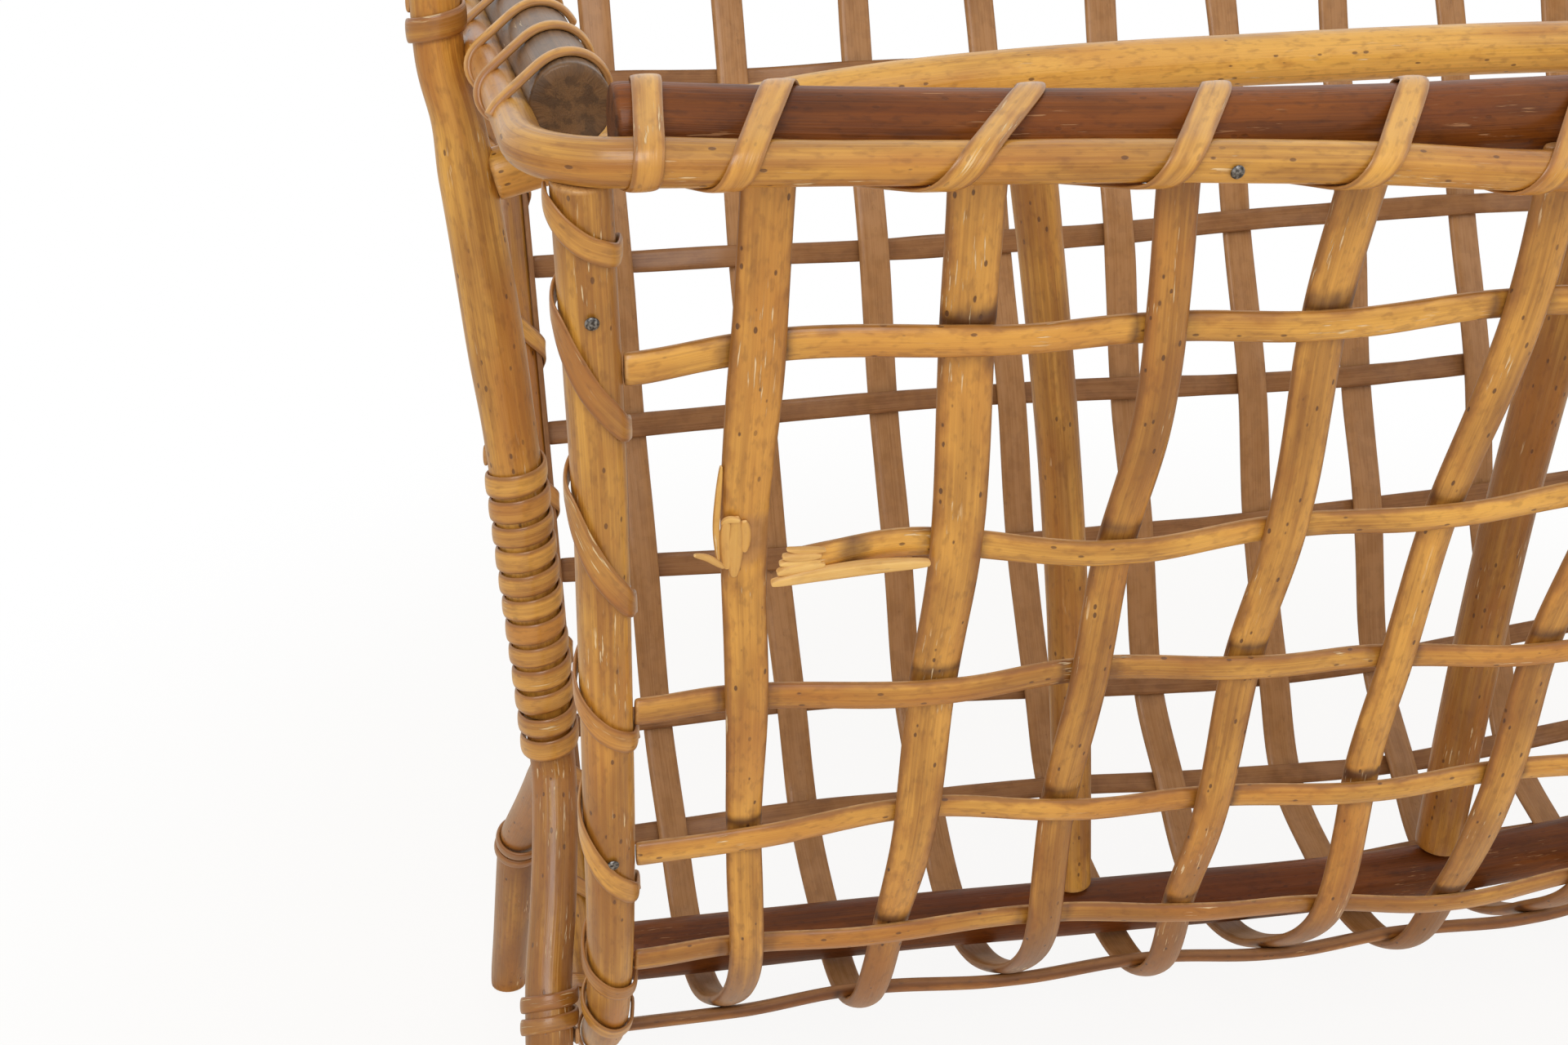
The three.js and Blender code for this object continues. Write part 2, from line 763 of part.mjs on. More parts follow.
for (const [label, side] of [['left', -1], ['right', 1]]) {
  const clear = postRadius + postClearance;
  const end = sidePoleEndY - lashingEndGap;
  addSideLashing(`${label}_front_side_lashing`, side, -end, postY - clear);
  addSideLashing(`${label}_back_side_lashing`, side, postY + clear, end);
}

// End frame lashings: each turn crosses the inner side just past a row, clear of the weaver's end

const frameSteps = 8;
const frameTurnDrop = 14.5;

function addFrameLashing(label, side) {
  const rounds = [
    { u: 0, v: 0, r: endFrameRadius },
    { u: endFrameX - linerX, v: linerInset, r: linerWidth / 2 + seat / 2 },
  ];
  const outline = girdle(rounds, frameSteps, seat + bendAllowance + caneThickness / 2);
  const start = frontFrameTop + caneWidth;
  const crossings = [start, ...rows.map((row) => row.s)].map((s) => s + frameTurnDrop);
  const corners = [];
  crossings.slice(1).forEach((crossing, turn) => {
    for (let k = 0; k < frameSteps; k += 1) {
      const corner = outline[(k + frameSteps - 1) % frameSteps];
      const s = THREE.MathUtils.lerp(crossings[turn], crossing, (k - 0.5) / frameSteps);
      const place = profileAt(s);
      const point = place.point.clone().addScaledVector(place.inward, corner.v);
      point.setX(side * (endFrameX - corner.u));
      const out = place.inward.clone().multiplyScalar(corner.outV).setX(-side * corner.outU);
      corners.push({ point, out, axis: place.along });
    }
  });
  addWinding(`${label}_frame_lashing`, corners, caneWidth, caneThickness, frameSteps);
}

addFrameLashing('left', -1);
addFrameLashing('right', 1);

// Post bindings over the fork, and short wraps round the post tops

const bindingSteps = 8;
const bindingDrop = 110;
const bindingEndDrop = forkDrop - bindingWidth / 2;

function addPostWinding(name, side, startZ, loops) {
  const corners = [];
  for (let k = 0; k <= loops * bindingSteps; k += 1) {
    const z = startZ - k / bindingSteps * bindingPitch;
    const rounds = [{ u: 0, v: 0, r: postRadius }];
    const nearJoint = z < postEndZ + bindingWidth;
    if (nearJoint) rounds.push(...[1, -1].map((back) => ({ u: 0, v: back * legTopReach, r: legRadius })));
    const corner = girdle(rounds, bindingSteps, seat + caneThickness / 2)[k % bindingSteps];
    const point = new THREE.Vector3(side * (postX(z) + corner.u), postY + corner.v, z);
    const out = new THREE.Vector3(side * corner.outU, corner.outV, 0);
    corners.push({ point, out, axis: straightUp });
  }
  addWinding(name, corners, bindingWidth, caneThickness, bindingSteps);
}

for (const [label, side] of [['left', -1], ['right', 1]]) {
  const loops = Math.floor((bindingEndDrop - bindingDrop) / bindingPitch);
  addPostWinding(`${label}_post_binding`, side, rimHeight - bindingDrop, loops);
}

const topWrapLoops = 1;
const topWrapRise = 9;

for (const [label, side] of [['left', -1], ['right', 1]]) {
  const startZ = rimHeight + topWrapRise + topWrapLoops * bindingPitch / 2;
  addPostWinding(`${label}_post_top_wrap`, side, startZ, topWrapLoops);
}

// Knee wraps: two turns of cane where each leg bends

const kneeSteps = 8;
const kneeTurns = 2;
const kneeWrapWidth = 4.6;
const kneePitch = kneeWrapWidth + bindingGap;

function addKneeWrap(name, side, back) {
  const [bendTop, bendFoot] = legPath(side, back).slice(kneeBendIndex, kneeBendIndex + 2);
  const axis = bendFoot.clone().sub(bendTop).normalize();
  const centre = bendTop.clone().lerp(bendFoot, 0.5);
  const across = acrossX.clone().addScaledVector(axis, -axis.x).normalize();
  const behind = axis.clone().cross(across);
  const outline = girdle([{ u: 0, v: 0, r: legRadius }], kneeSteps, seat + caneThickness / 2);
  const corners = [];
  for (let k = 0; k <= kneeTurns * kneeSteps; k += 1) {
    const corner = outline[k % kneeSteps];
    const along = (k / kneeSteps - kneeTurns / 2) * kneePitch;
    const point = centre.clone().addScaledVector(axis, along);
    point.addScaledVector(across, corner.u).addScaledVector(behind, corner.v);
    const out = across.clone().multiplyScalar(corner.outU).addScaledVector(behind, corner.outV);
    corners.push({ point, out, axis });
  }
  addWinding(name, corners, kneeWrapWidth, caneThickness, kneeSteps);
}

addKneeWrap('front_left_knee_wrap', -1, -1);
addKneeWrap('back_left_knee_wrap', -1, 1);
addKneeWrap('front_right_knee_wrap', 1, -1);
addKneeWrap('back_right_knee_wrap', 1, 1);

// Nails: low round heads seated on the canes that they hold

const nailSides = 6;
const frameNailDrop = 33;
const frameNailLift = 6.5;
const caneNailShift = 9;

function nailHead(centre, direction, radius) {
  const head = new THREE.CylinderGeometry(nailRadius * nailTopShare, nailRadius, nailHeight, nailSides);
  head.applyQuaternion(new THREE.Quaternion().setFromUnitVectors(straightBack, direction));
  const place = centre.clone().addScaledVector(direction, radius + seat + nailHeight / 2);
  head.translate(place.x, place.y, place.z);
  return head;
}

function addNail(name, s, x, inset, radius) {
  const outward = profileAt(s).inward.clone().negate();
  addPiece(name, nailHead(cradlePoint(s, x, inset), outward, radius), 'steel');
}

const caneNailX = caneNailShift - ribPitch * 2;
addNail('upper_frame_nail', frameNailDrop, -endFrameX, 0, endFrameRadius);
addNail('lower_frame_nail', frontRows[3] - frameNailLift, -endFrameX, 0, endFrameRadius);
addNail('rim_cane_nail', rimDrop(caneNailX), caneNailX, rimCaneInset, rimCaneRadius);

export default basket;
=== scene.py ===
# Rattan magazine basket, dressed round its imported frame
# Metres, +Z up, +X along the long side, +Y to the back

import math

import bpy
import numpy as np
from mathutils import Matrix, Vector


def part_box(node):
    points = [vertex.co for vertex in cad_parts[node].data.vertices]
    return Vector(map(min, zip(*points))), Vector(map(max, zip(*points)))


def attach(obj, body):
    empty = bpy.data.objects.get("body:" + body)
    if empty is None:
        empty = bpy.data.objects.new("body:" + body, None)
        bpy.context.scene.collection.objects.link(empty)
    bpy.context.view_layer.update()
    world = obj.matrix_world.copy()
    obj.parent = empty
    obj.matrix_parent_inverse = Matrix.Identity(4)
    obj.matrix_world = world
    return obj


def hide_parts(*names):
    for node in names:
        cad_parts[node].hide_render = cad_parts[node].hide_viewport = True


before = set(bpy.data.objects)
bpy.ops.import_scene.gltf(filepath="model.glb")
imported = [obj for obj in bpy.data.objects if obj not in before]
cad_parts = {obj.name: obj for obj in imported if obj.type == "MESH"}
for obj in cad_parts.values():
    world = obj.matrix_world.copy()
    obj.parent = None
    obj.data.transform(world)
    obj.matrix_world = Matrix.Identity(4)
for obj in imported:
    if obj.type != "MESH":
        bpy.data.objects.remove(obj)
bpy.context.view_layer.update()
mm = 0.001
print("frame loaded with", len(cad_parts), "nodes")

# Shader maths: a Wire is a node's output, added and multiplied as numbers are


class Wire:
    def __init__(self, paint, socket):
        self.paint = paint
        self.socket = socket

    def maths(self, operation, first, second):
        return self.paint.node("Math", {0: first, 1: second}, operation=operation)

    def __add__(self, other):
        return self.maths("ADD", self, other)

    def __sub__(self, other):
        return self.maths("SUBTRACT", self, other)

    def __rsub__(self, other):
        return self.maths("SUBTRACT", other, self)

    def __mul__(self, other):
        return self.maths("MULTIPLY", self, other)

    __radd__, __rmul__ = __add__, __mul__

    def orElse(self, other):
        return self.maths("MAXIMUM", self, other)

    def between(self, low, high):  # 0 at low, 1 at high, smooth in between
        values = {"Value": self, "From Min": low, "From Max": high}
        return self.paint.node("MapRange", values, interpolation_type="SMOOTHSTEP")


def colour(red, green, blue):  # written as seen on a screen, 0 to 255
    shares = [value / 255 for value in (red, green, blue)]
    return tuple(c / 12.92 if c <= 0.04045 else ((c + 0.055) / 1.055) ** 2.4 for c in shares) + (1.0,)


class Paint:  # makes the nodes of a material or of the world
    def __init__(self, owner):
        owner.use_nodes = True
        self.owner = owner
        self.tree = owner.node_tree
        self.tree.nodes.clear()

    def node(self, kind, values, output=0, **settings):
        made = self.tree.nodes.new("ShaderNode" + kind)
        for key, value in settings.items():
            setattr(made, key, value)
        for key, value in values.items():
            if isinstance(value, Wire):
                self.tree.links.new(value.socket, made.inputs[key])
            else:
                made.inputs[key].default_value = value
        return Wire(self, made.outputs[output])

    def attribute(self, name, output):
        return self.node("Attribute", {}, output, attribute_name=name)

    def stretch(self, place, across, along):
        return self.node("VectorMath", {0: place, 1: (across, across, along)}, operation="MULTIPLY")

    def noise(self, place, across, along, detail):
        values = {"Vector": self.stretch(place, across, along), "Scale": 1.0, "Detail": detail}
        return self.node("TexNoise", values)

    def mix(self, share, first, second):
        return self.node("Mix", {0: share, 6: first, 7: second}, 2, data_type="RGBA", clamp_factor=True)

    def parts(self, vector):
        split = self.node("SeparateXYZ", {"Vector": vector}).socket.node
        return [Wire(self, split.outputs[axis]) for axis in "XYZ"]

    def finish(self, shader, kind="Material"):
        output = self.tree.nodes.new("ShaderNodeOutput" + kind)
        self.tree.links.new(shader.socket, output.inputs["Surface"])
        return self.owner


# Rattan finishes: colours, then gloss, flecks, cracks and shine. Grain is the straightened cane: section
# across, length along, so fibres follow every bend. A second attribute holds stain with painted contact
# shade, skin, and tone, which also carries painted shade. Edge is 1 along a split cane's two edges.

tints = ("pale", "deep", "amber", "streak", "stainAndShade", "bare", "wornAndGlint")
finishes = {
    "honey_rattan": ([(230, 172, 75), (152, 98, 34), (190, 118, 37), (104, 56, 17),
        (74, 36, 14), (214, 166, 104), (242, 216, 172)], 0.3, 0.7, 0.3, 0.45),
    "woven_rattan": ([(222, 162, 70), (146, 94, 32), (184, 114, 37), (98, 54, 17),
        (70, 34, 14), (178, 128, 76), (240, 214, 172)], 0.34, 0.8, 0.1, 0.45),
    # darker rattan for the back and bottom weavers and the liners inside the basket: partly their own darker
    # colour, partly painted shade
    "aged_rattan": ([(178, 118, 49), (112, 66, 24), (140, 78, 26), (76, 42, 15),
        (54, 28, 14), (156, 108, 62), (190, 148, 98)], 0.42, 0.4, 0.1, 0.4),
    "red_brown_pole": ([(134, 72, 17), (80, 38, 7), (112, 52, 8), (44, 20, 3),
        (34, 16, 6), (110, 66, 32), (180, 130, 88)], 0.4, 0.3, 0.6, 0.2),
    "grey_brown_pole": ([(124, 92, 60), (66, 47, 31), (128, 84, 42), (42, 30, 22),
        (34, 22, 14), (116, 82, 48), (204, 182, 152)], 0.4, 0.5, 0.45, 0.35),
    "torn_fibre": ([(238, 196, 109), (204, 148, 66), (212, 152, 66), (150, 92, 37),
        (96, 52, 24), (242, 204, 140), (248, 228, 190)], 0.5, 0.2, 0.0, 0.3),
    "cane_lashing": ([(226, 168, 75), (158, 102, 36), (190, 116, 37), (112, 66, 24),
        (80, 44, 18), (196, 146, 88), (240, 214, 166)], 0.28, 0.3, 0.1, 0.5),
}

# Noise in the cane: patches per metre across it and along it, and detail

patches = {
    "blotch": (90, 24, 3), "streak": (620, 9, 3), "fibre": (2300, 34, 2), "soak": (240, 110, 3),
    "amber": (50, 13, 2), "mottle": (700, 260, 2), "scrapeAndGlint": (1500, 120, 3), "wornAndGlint": (70, 30, 1),
    "crack": (260, 260, 3),
}
specks = {"spread": (520, 260), "radius": 0.26, "soft": 0.1, "few": (0.82, 0.85)}
polish = {"coat": 0.8, "coatRoughness": 0.2, "grain": {"Distance": 0.3 * mm, "Strength": 0.8}}


def rattanPaint(name, colours, gloss, flecks, cracks, shine):
    paint = Paint(bpy.data.materials.new(name))
    tint = dict(zip(tints, [colour(*value) for value in colours]))
    grain = paint.attribute("grain", "Vector")
    stainAndShade, skin, tone = paint.parts(paint.attribute("wearAndShade", "Vector"))
    edge = paint.attribute("edge", "Fac")
    noise = {key: paint.noise(grain, *scale) for key, scale in patches.items()}
    streak, fibre, soak = noise["streak"], noise["fibre"], noise["soak"]
    values = {"Vector": paint.stretch(grain, *specks["spread"]), "Scale": 1.0}
    cells = paint.node("TexVoronoi", values, "Distance")
    picked = Wire(paint, cells.socket.node.outputs["Color"])
    chosen = paint.node("SeparateColor", {"Color": picked}, "Red").between(*specks["few"])
    fleck = (specks["radius"] - cells).between(0.0, specks["soft"]) * chosen * flecks
    # pale scrapes along the cane; their pale colour also paints glints of highlight
    scrapeAndGlint = noise["scrapeAndGlint"].between(0.62, 0.68) * noise["wornAndGlint"].between(0.57, 0.66)
    # blotches, streaks and fibre shifted by tone; tone also carries painted shade on some canes
    shade = noise["blotch"] * 1.5 + streak * 0.9 + fibre * 0.45 + tone * 0.35 - 0.925
    base = paint.mix(shade.between(0.0, 1.0), tint["deep"], tint["pale"])
    layers = [  # each hides its share of what lies under it
        ("amber", noise["amber"].between(0.48, 0.66) * 0.45),
        # low tone darkens towards the streak colour; this paints shade on the lower and back ribs and the back
        # weavers, and shade with dirt on the legs
        ("streak", (-0.5 - tone).between(0.0, 2.0) * 0.8),
        ("streak", streak.between(0.6, 0.76) * 0.32),
        ("streak", noise["mottle"].between(0.5, 0.72) * 0.3),
        ("amber", (edge * 0.5 + soak - 0.5).between(0.0, 0.4) * 0.4),
        ("streak", (edge * 0.6 + soak - 0.6).between(0.0, 0.5) * 0.55),
        # stain with painted contact shade where canes cross
        ("stainAndShade", (stainAndShade + soak * 0.7 - 0.4).between(0.0, 0.8) * 0.9),
        ("stainAndShade", fleck),
        # pale scrapes, partly painted highlight glints
        ("wornAndGlint", scrapeAndGlint * skin * 0.75),
    ]
    for key, share in layers:
        base = paint.mix(share, base, tint[key])
    bareWood = paint.mix((fibre * 0.6 + soak * 0.6).between(0.45, 0.8) * 0.55, tint["bare"], tint["deep"])
    crack = (noise["crack"] * 1.4 + soak * 0.6 - 0.98).between(0.0, 0.16) * cracks
    bareWood = paint.mix(crack, bareWood, tint["stainAndShade"])
    base = paint.mix((1 - skin) * 0.9, base, bareWood)
    rough = gloss + fibre * 0.16 + scrapeAndGlint * 0.3 + (1 - skin) * 0.22 + stainAndShade * 0.15
    height = fibre * 0.6 + streak * 0.6 + soak * 0.5 - scrapeAndGlint * skin * 0.5 - fleck * 0.8
    values = {
        "Base Color": base, "Roughness": rough, "Specular IOR Level": shine,
        "Normal": paint.node("Bump", {"Height": height, **polish["grain"]}),
        "Coat Weight": shine * polish["coat"], "Coat Roughness": polish["coatRoughness"],
    }
    return paint.finish(paint.node("BsdfPrincipled", values))


steel = {"dark": (64, 60, 58), "light": (150, 148, 146), "grit": (1500, 1500, 3), "depth": 0.1 * mm}


def steelPaint(name):
    paint = Paint(bpy.data.materials.new(name))
    grit = paint.noise(paint.node("TexCoord", {}, "Object"), *steel["grit"])
    base = paint.mix(grit.between(0.35, 0.7), colour(*steel["dark"]), colour(*steel["light"]))
    bump = paint.node("Bump", {"Height": grit, "Distance": steel["depth"], "Strength": 0.5})
    values = {"Base Color": base, "Roughness": grit * 0.3 + 0.25, "Metallic": 0.9, "Normal": bump}
    return paint.finish(paint.node("BsdfPrincipled", values))


paints = {name: rattanPaint(name, *look) for name, look in finishes.items()}
paints["steel_nail"] = steelPaint("steel_nail")
print("finishes made:", len(paints))

# Path maths


def unit(vectors):
    return vectors / np.linalg.norm(vectors, axis=-1, keepdims=True)


def runAlong(line):
    return np.concatenate([[0.0], np.cumsum(np.linalg.norm(np.diff(line, axis=0), axis=1))])


def between(stops, places, vectors):
    return np.stack([np.interp(stops, places, vectors[:, axis]) for axis in range(3)], 1)


def resample(line, stops):
    return between(stops, runAlong(line), line)


def smoothLine(points, spacing=3 * mm):  # a rounded path through the points, evenly stepped
    points = np.asarray(points, float)
    ends = np.vstack([2 * points[0] - points[1], points, 2 * points[-1] - points[-2]])
    share = np.linspace(0, 1, 24, endpoint=False)[:, None]
    bows = []
    for a, b, c, d in zip(ends, ends[1:], ends[2:], ends[3:]):
        bows.append(b + (c - a) * share / 2 + (a - 2.5 * b + 2 * c - d / 2) * share ** 2
                    + (1.5 * (b - c) + (d - a) / 2) * share ** 3)
    line = np.vstack(bows + [points[-1:]])
    length = runAlong(line)[-1]
    return resample(line, np.linspace(0, length, max(3, round(length / spacing)) + 1))


def waver(seed, run, pitch, amount):  # a slow irregular wave along a run
    picks = np.random.RandomState(seed)
    place = run / pitch + picks.uniform(0, 1)
    knots = picks.uniform(-1, 1, int(place.max()) + 3)
    low = place.astype(int)
    share = place - low
    share = share * share * (3 - 2 * share)
    return amount * (knots[low] * (1 - share) + knots[low + 1] * share)


def neighbours(value, places):  # which gap a value lies in, and how far along it
    upper = np.clip(np.searchsorted(places, value), 1, len(places) - 1)
    width = places[upper] - places[upper - 1]
    return upper, width, np.clip((value - places[upper - 1]) / width, 0, 1)


def ease(value, places, amounts):  # smooth steps between the given amounts
    places, amounts = np.asarray(places, float), np.asarray(amounts, float)
    upper, width, share = neighbours(value, places)
    share = share * share * (3 - 2 * share)
    return amounts[upper - 1] * (1 - share) + amounts[upper] * share


def stepped(table, place):  # the same, with a table in mm and a place in metres
    return ease(place / mm, *zip(*table))


def curve(table, place):  # the same as a smooth curve, level past the table's ends
    places, amounts = np.array(table, float).T
    slopes = np.gradient(amounts, places)
    upper, width, share = neighbours(place / mm, places)
    back = 1 - share
    return (amounts[upper - 1] * (1 + 2 * share) * back ** 2 + amounts[upper] * share ** 2 * (3 - 2 * share)
            + slopes[upper - 1] * width * share * back ** 2 - slopes[upper] * width * share ** 2 * back)


def lineOf(x, y, z):
    return np.stack(np.broadcast_arrays(x, y, z), 1)


# Sections, as shares of the half width and half height. Split cane is flat inside, crowned outside.

roundSides = 14
roundTurn = np.linspace(0, 2 * math.pi, roundSides + 1)
sections = {
    "round": np.stack([np.cos(roundTurn), np.sin(roundTurn)], 1),
    "split": np.array([
        (0, 1), (-0.42, 0.86), (-0.78, 0.5), (-1.02, 0.0), (-1.0, -0.66), (-0.82, -0.98), (-0.4, -1),
        (0, -1), (0.4, -1), (0.82, -0.98), (1.0, -0.66), (1.02, 0.0), (0.78, 0.5), (0.42, 0.86), (0, 1),
    ]),
    "strip": np.array([
        (0, 1), (-0.5, 0.92), (-0.94, 0.55), (-1.02, -0.3), (-0.9, -1), (-0.4, -1),
        (0.4, -1), (0.9, -1), (1.02, -0.3), (0.94, 0.55), (0.5, 0.92), (0, 1),
    ]),
}
fullness = {"round": 1.026, "split": 1.06, "strip": 1.06}  # makes up for what rounding takes off
sweep = {
    "capStep": 0.3, "clear": 1.5,  # shares of the end's rounding: its middle ring, and the stretch kept free
    "grainShift": 0.4, "toneRange": 0.5, "weld": 0.002 * mm, "smoothAngle": 60,
}
made = []


def editAll():
    bpy.ops.object.mode_set(mode="EDIT")
    bpy.ops.mesh.select_all(action="SELECT")


def alongStops(stops, places, value):  # a value, or a vector, given once or for every place of the path
    value = np.asarray(value, float)
    if value.ndim < 2:
        return np.interp(stops, places, np.broadcast_to(value, places.shape))
    return between(stops, places, value)


def sweepCane(name, line, across, sectionName, halfWidth, halfHeight, seed, outward=None, roll=0.0,
              stainAndShade=0.0, bare=0.0, tone=None, endRound=0.8 * mm, endShare=0.8):
    places = runAlong(line)
    length = places[-1]
    clear = endRound * sweep["clear"]
    cap = np.array([0, endRound * sweep["capStep"], endRound])
    inner = (places > clear) & (places < length - clear)
    stops = np.concatenate([cap, places[inner], length - cap[::-1]])
    width, height, roll, stainAndShade, bare = (alongStops(stops, places, value)
                                        for value in (halfWidth, halfHeight, roll, stainAndShade, bare))
    facing = np.broadcast_to(np.asarray(across if outward is None else outward, float), line.shape)
    facing = alongStops(stops, places, facing)
    line = resample(line, stops)
    tangent = unit(np.gradient(line, stops, axis=0))
    u = facing if outward is None else np.cross(facing, tangent)
    u = unit(u - (u * tangent).sum(1)[:, None] * tangent)
    v = np.cross(tangent, u)
    turn = roll[:, None]
    u, v = u * np.cos(turn) + v * np.sin(turn), v * np.cos(turn) - u * np.sin(turn)
    fromEnd = np.minimum(stops, length - stops)
    taper = np.interp(fromEnd, cap, [endShare, 1 - (1 - endShare) * sweep["capStep"], 1])
    section = sections[sectionName] * fullness[sectionName]
    columns = len(section)
    a = section[:, 0][None, :] * (width * taper)[:, None]
    b = section[:, 1][None, :] * (height * taper)[:, None]
    points = line[:, None, :] + a[..., None] * u[:, None, :] + b[..., None] * v[:, None, :]
    picks = np.random.RandomState(seed)
    shift = picks.uniform(0, sweep["grainShift"], 3)
    grain = np.stack([a + shift[0], b + shift[1], np.broadcast_to(stops[:, None], a.shape) + shift[2]], -1)
    isRound = sectionName == "round"  # a split cane has its skin on the crown and its edges at the sides
    skin = np.ones(columns) if isRound else np.clip(section[:, 1] * 3 + 1.6, 0, 1)
    skin = skin[None, :] * ((fromEnd > endRound / 2) * (1 - bare))[:, None]
    edge = np.zeros(columns) if isRound else np.clip(np.abs(section[:, 0]) * 4 - 3, 0, 1)
    if tone is None:
        tone = picks.uniform(-sweep["toneRange"], sweep["toneRange"])
    tone = alongStops(stops, places, tone)
    wearAndShade = np.stack([np.broadcast_to(stainAndShade[:, None], a.shape), skin,
                     np.broadcast_to(tone[:, None], a.shape)], -1)
    edge = np.broadcast_to(edge, a.shape)

    bpy.ops.mesh.primitive_grid_add(x_subdivisions=columns - 1, y_subdivisions=len(stops) - 1, size=0.1)
    piece = bpy.context.active_object
    piece.name = name
    mesh = piece.data
    mesh.name = name
    mesh.vertices.foreach_set("co", points.reshape(-1))
    for label, values in (("grain", grain), ("wearAndShade", wearAndShade)):
        mesh.attributes.new(label, "FLOAT_VECTOR", "POINT").data.foreach_set("vector", values.reshape(-1))
    mesh.attributes.new("edge", "FLOAT", "POINT").data.foreach_set("value", edge.reshape(-1))
    editAll()
    bpy.ops.mesh.remove_doubles(threshold=sweep["weld"])
    bpy.ops.mesh.fill_holes(sides=0)
    bpy.ops.mesh.normals_make_consistent(inside=False)
    bpy.ops.object.mode_set(mode="OBJECT")
    bpy.ops.object.modifier_add(type="SUBSURF")
    rounding = piece.modifiers[-1]
    rounding.levels = rounding.render_levels = 1
    bpy.ops.object.modifier_apply(modifier=rounding.name)
    bpy.ops.object.shade_smooth_by_angle(angle=math.radians(sweep["smoothAngle"]))
    return piece


def dress(piece, slot, *nodes, finish=None):  # its finish, its body and the nodes it stands for
    piece.data.materials.append(paints[finish or slot])
    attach(piece, "root")
    if nodes:
        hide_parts(*nodes)
    made.append(piece)
    return piece


# The U of the cradle, measured along the strip from the front rim to the back rim

cradle = {
    "rimHeight": 348 * mm, "basketWidth": 294 * mm, "frontLean": 11.5, "backLean": 23.3,
    "frontStraight": 206 * mm, "backStraight": 245 * mm, "frontBend": 124 * mm, "backBend": 112 * mm,
    "rimDish": 9.5 * mm, "ribPitch": 45 * mm, "ribCount": 9, "endFrameX": 215.5 * mm, "postY": -34.5 * mm,
    "rimCornerX": 207.3 * mm, "sideCaneX": 229.3 * mm, "rimCornerRadius": 22 * mm,
    "sag": [(-207, -1.5), (-120, 1), (-35, 5), (30, 8.5), (65, 9), (130, 6), (207, 0)],
    "sagReach": [(120, 0), (260, 1), (430, 1), (600, 0)],
}
alongX = np.array([1.0, 0.0, 0.0])
upright = np.array([0.0, 0.0, 1.0])
frontLean, backLean = math.radians(cradle["frontLean"]), math.radians(cradle["backLean"])
frontDown = np.array([0, math.sin(frontLean), -math.cos(frontLean)])
backUp = np.array([0, math.sin(backLean), math.cos(backLean)])
frontTop = np.array([0, -cradle["basketWidth"] / 2, cradle["rimHeight"]])
backTop = np.array([0, cradle["basketWidth"] / 2, cradle["rimHeight"]])
bendFrom = frontTop + frontDown * cradle["frontStraight"]
bendTo = backTop - backUp * cradle["backStraight"]
bendShare = np.linspace(0, 1, 1201)[:, None]
bendLine = ((1 - bendShare) ** 3 * bendFrom
            + 3 * (1 - bendShare) ** 2 * bendShare * (bendFrom + frontDown * cradle["frontBend"])
            + 3 * (1 - bendShare) * bendShare ** 2 * (bendTo - backUp * cradle["backBend"])
            + bendShare ** 3 * bendTo)
bendRun = runAlong(bendLine)
bendWay = unit(np.gradient(bendLine, bendRun, axis=0))
bendEnd = cradle["frontStraight"] + bendRun[-1]
cradleLength = bendEnd + cradle["backStraight"]


def profileAt(s):
    s = np.atleast_1d(np.asarray(s, float))
    inBend = np.clip(s - cradle["frontStraight"], 0, bendRun[-1])
    point = between(inBend, bendRun, bendLine)
    along = unit(between(inBend, bendRun, bendWay))
    point += np.minimum(s - cradle["frontStraight"], 0)[:, None] * frontDown
    point += np.maximum(s - bendEnd, 0)[:, None] * backUp
    return point, along, np.cross(alongX, along)


def spotAt(s):
    return [value[0] for value in profileAt(s)]


def cradleLine(s, x, inset):
    point, along, inward = profileAt(s)
    line = point + inward * np.broadcast_to(inset, (len(point),))[:, None]
    line[:, 0] = x
    return line


def wovenLine(s, x, inset):  # the loaded middle of the cradle hangs a little lower
    line = cradleLine(s, x, inset)
    line[:, 2] -= curve(cradle["sag"], x) * stepped(cradle["sagReach"], s) * mm
    return line


def rimDrop(x):
    return cradle["rimDish"] * np.maximum(0, 1 - (x / cradle["rimCornerX"]) ** 2)


def ribX(i):
    return (i - (cradle["ribCount"] + 1) / 2) * cradle["ribPitch"]


ribNumbers = range(1, cradle["ribCount"] + 1)


# Rows of weavers: place along the U, and how each wanders off its line at some places in x

rows = [{"name": name, "s": s, "wander": wander} for name, s, wander in [
    ("front_weaver_1", 49.4, [(-208, -0.7), (-150, -2.6), (-110, 0), (0, 1.6), (208, 0)]),
    ("front_weaver_2", 108.9, [(-169, -4.6), (-150, -4.8), (-112, 1), (15, 1.7), (208, 0)]),
    ("front_weaver_3", 153.8, [(-208, -6.5), (-150, -3.2), (-70, -1), (30, 6.6), (110, 5), (208, 0)]),
    ("front_weaver_4", 199.5, [(-208, -1.8), (-125, -4.5), (-72, 1), (22, 3.8), (208, -1)]),
    ("front_weaver_5", 248.5, [(-208, -6), (-165, -3.5), (-120, -5), (-95, -3), (-60, -1),
        (-15, 5), (40, 11), (100, 10), (208, 3)]),
    ("bottom_weaver_1", 302.6, [(-208, -1), (-60, 1), (30, -4), (65, -7), (130, -6), (208, -2)]),
    ("bottom_weaver_2", 356.1, [(-208, 1), (-100, -2), (60, 1.5), (208, 0)]),
    ("bottom_weaver_3", 393.8, [(-208, -1), (-40, 2), (120, -2), (208, 0)]),
    ("back_weaver_5", 431.5, [(-208, 0), (-120, 1.6), (20, -1.5), (208, 1)]),
    ("back_weaver_4", 483.6, [(-208, 1), (-90, -1.5), (70, 1.5), (208, 0)]),
    ("back_weaver_3", 532.5, [(-208, -1), (-60, 1.5), (110, -1.5), (208, 0)]),
    ("back_weaver_2", 587.1, [(-208, 1), (-30, -1), (90, 1.5), (208, 0)]),
    ("back_weaver_1", 648.1, [(-208, 0), (-110, -1), (40, 1), (208, 0)]),
]]

# How each rib wanders sideways on its way down the front, in mm at places along the U

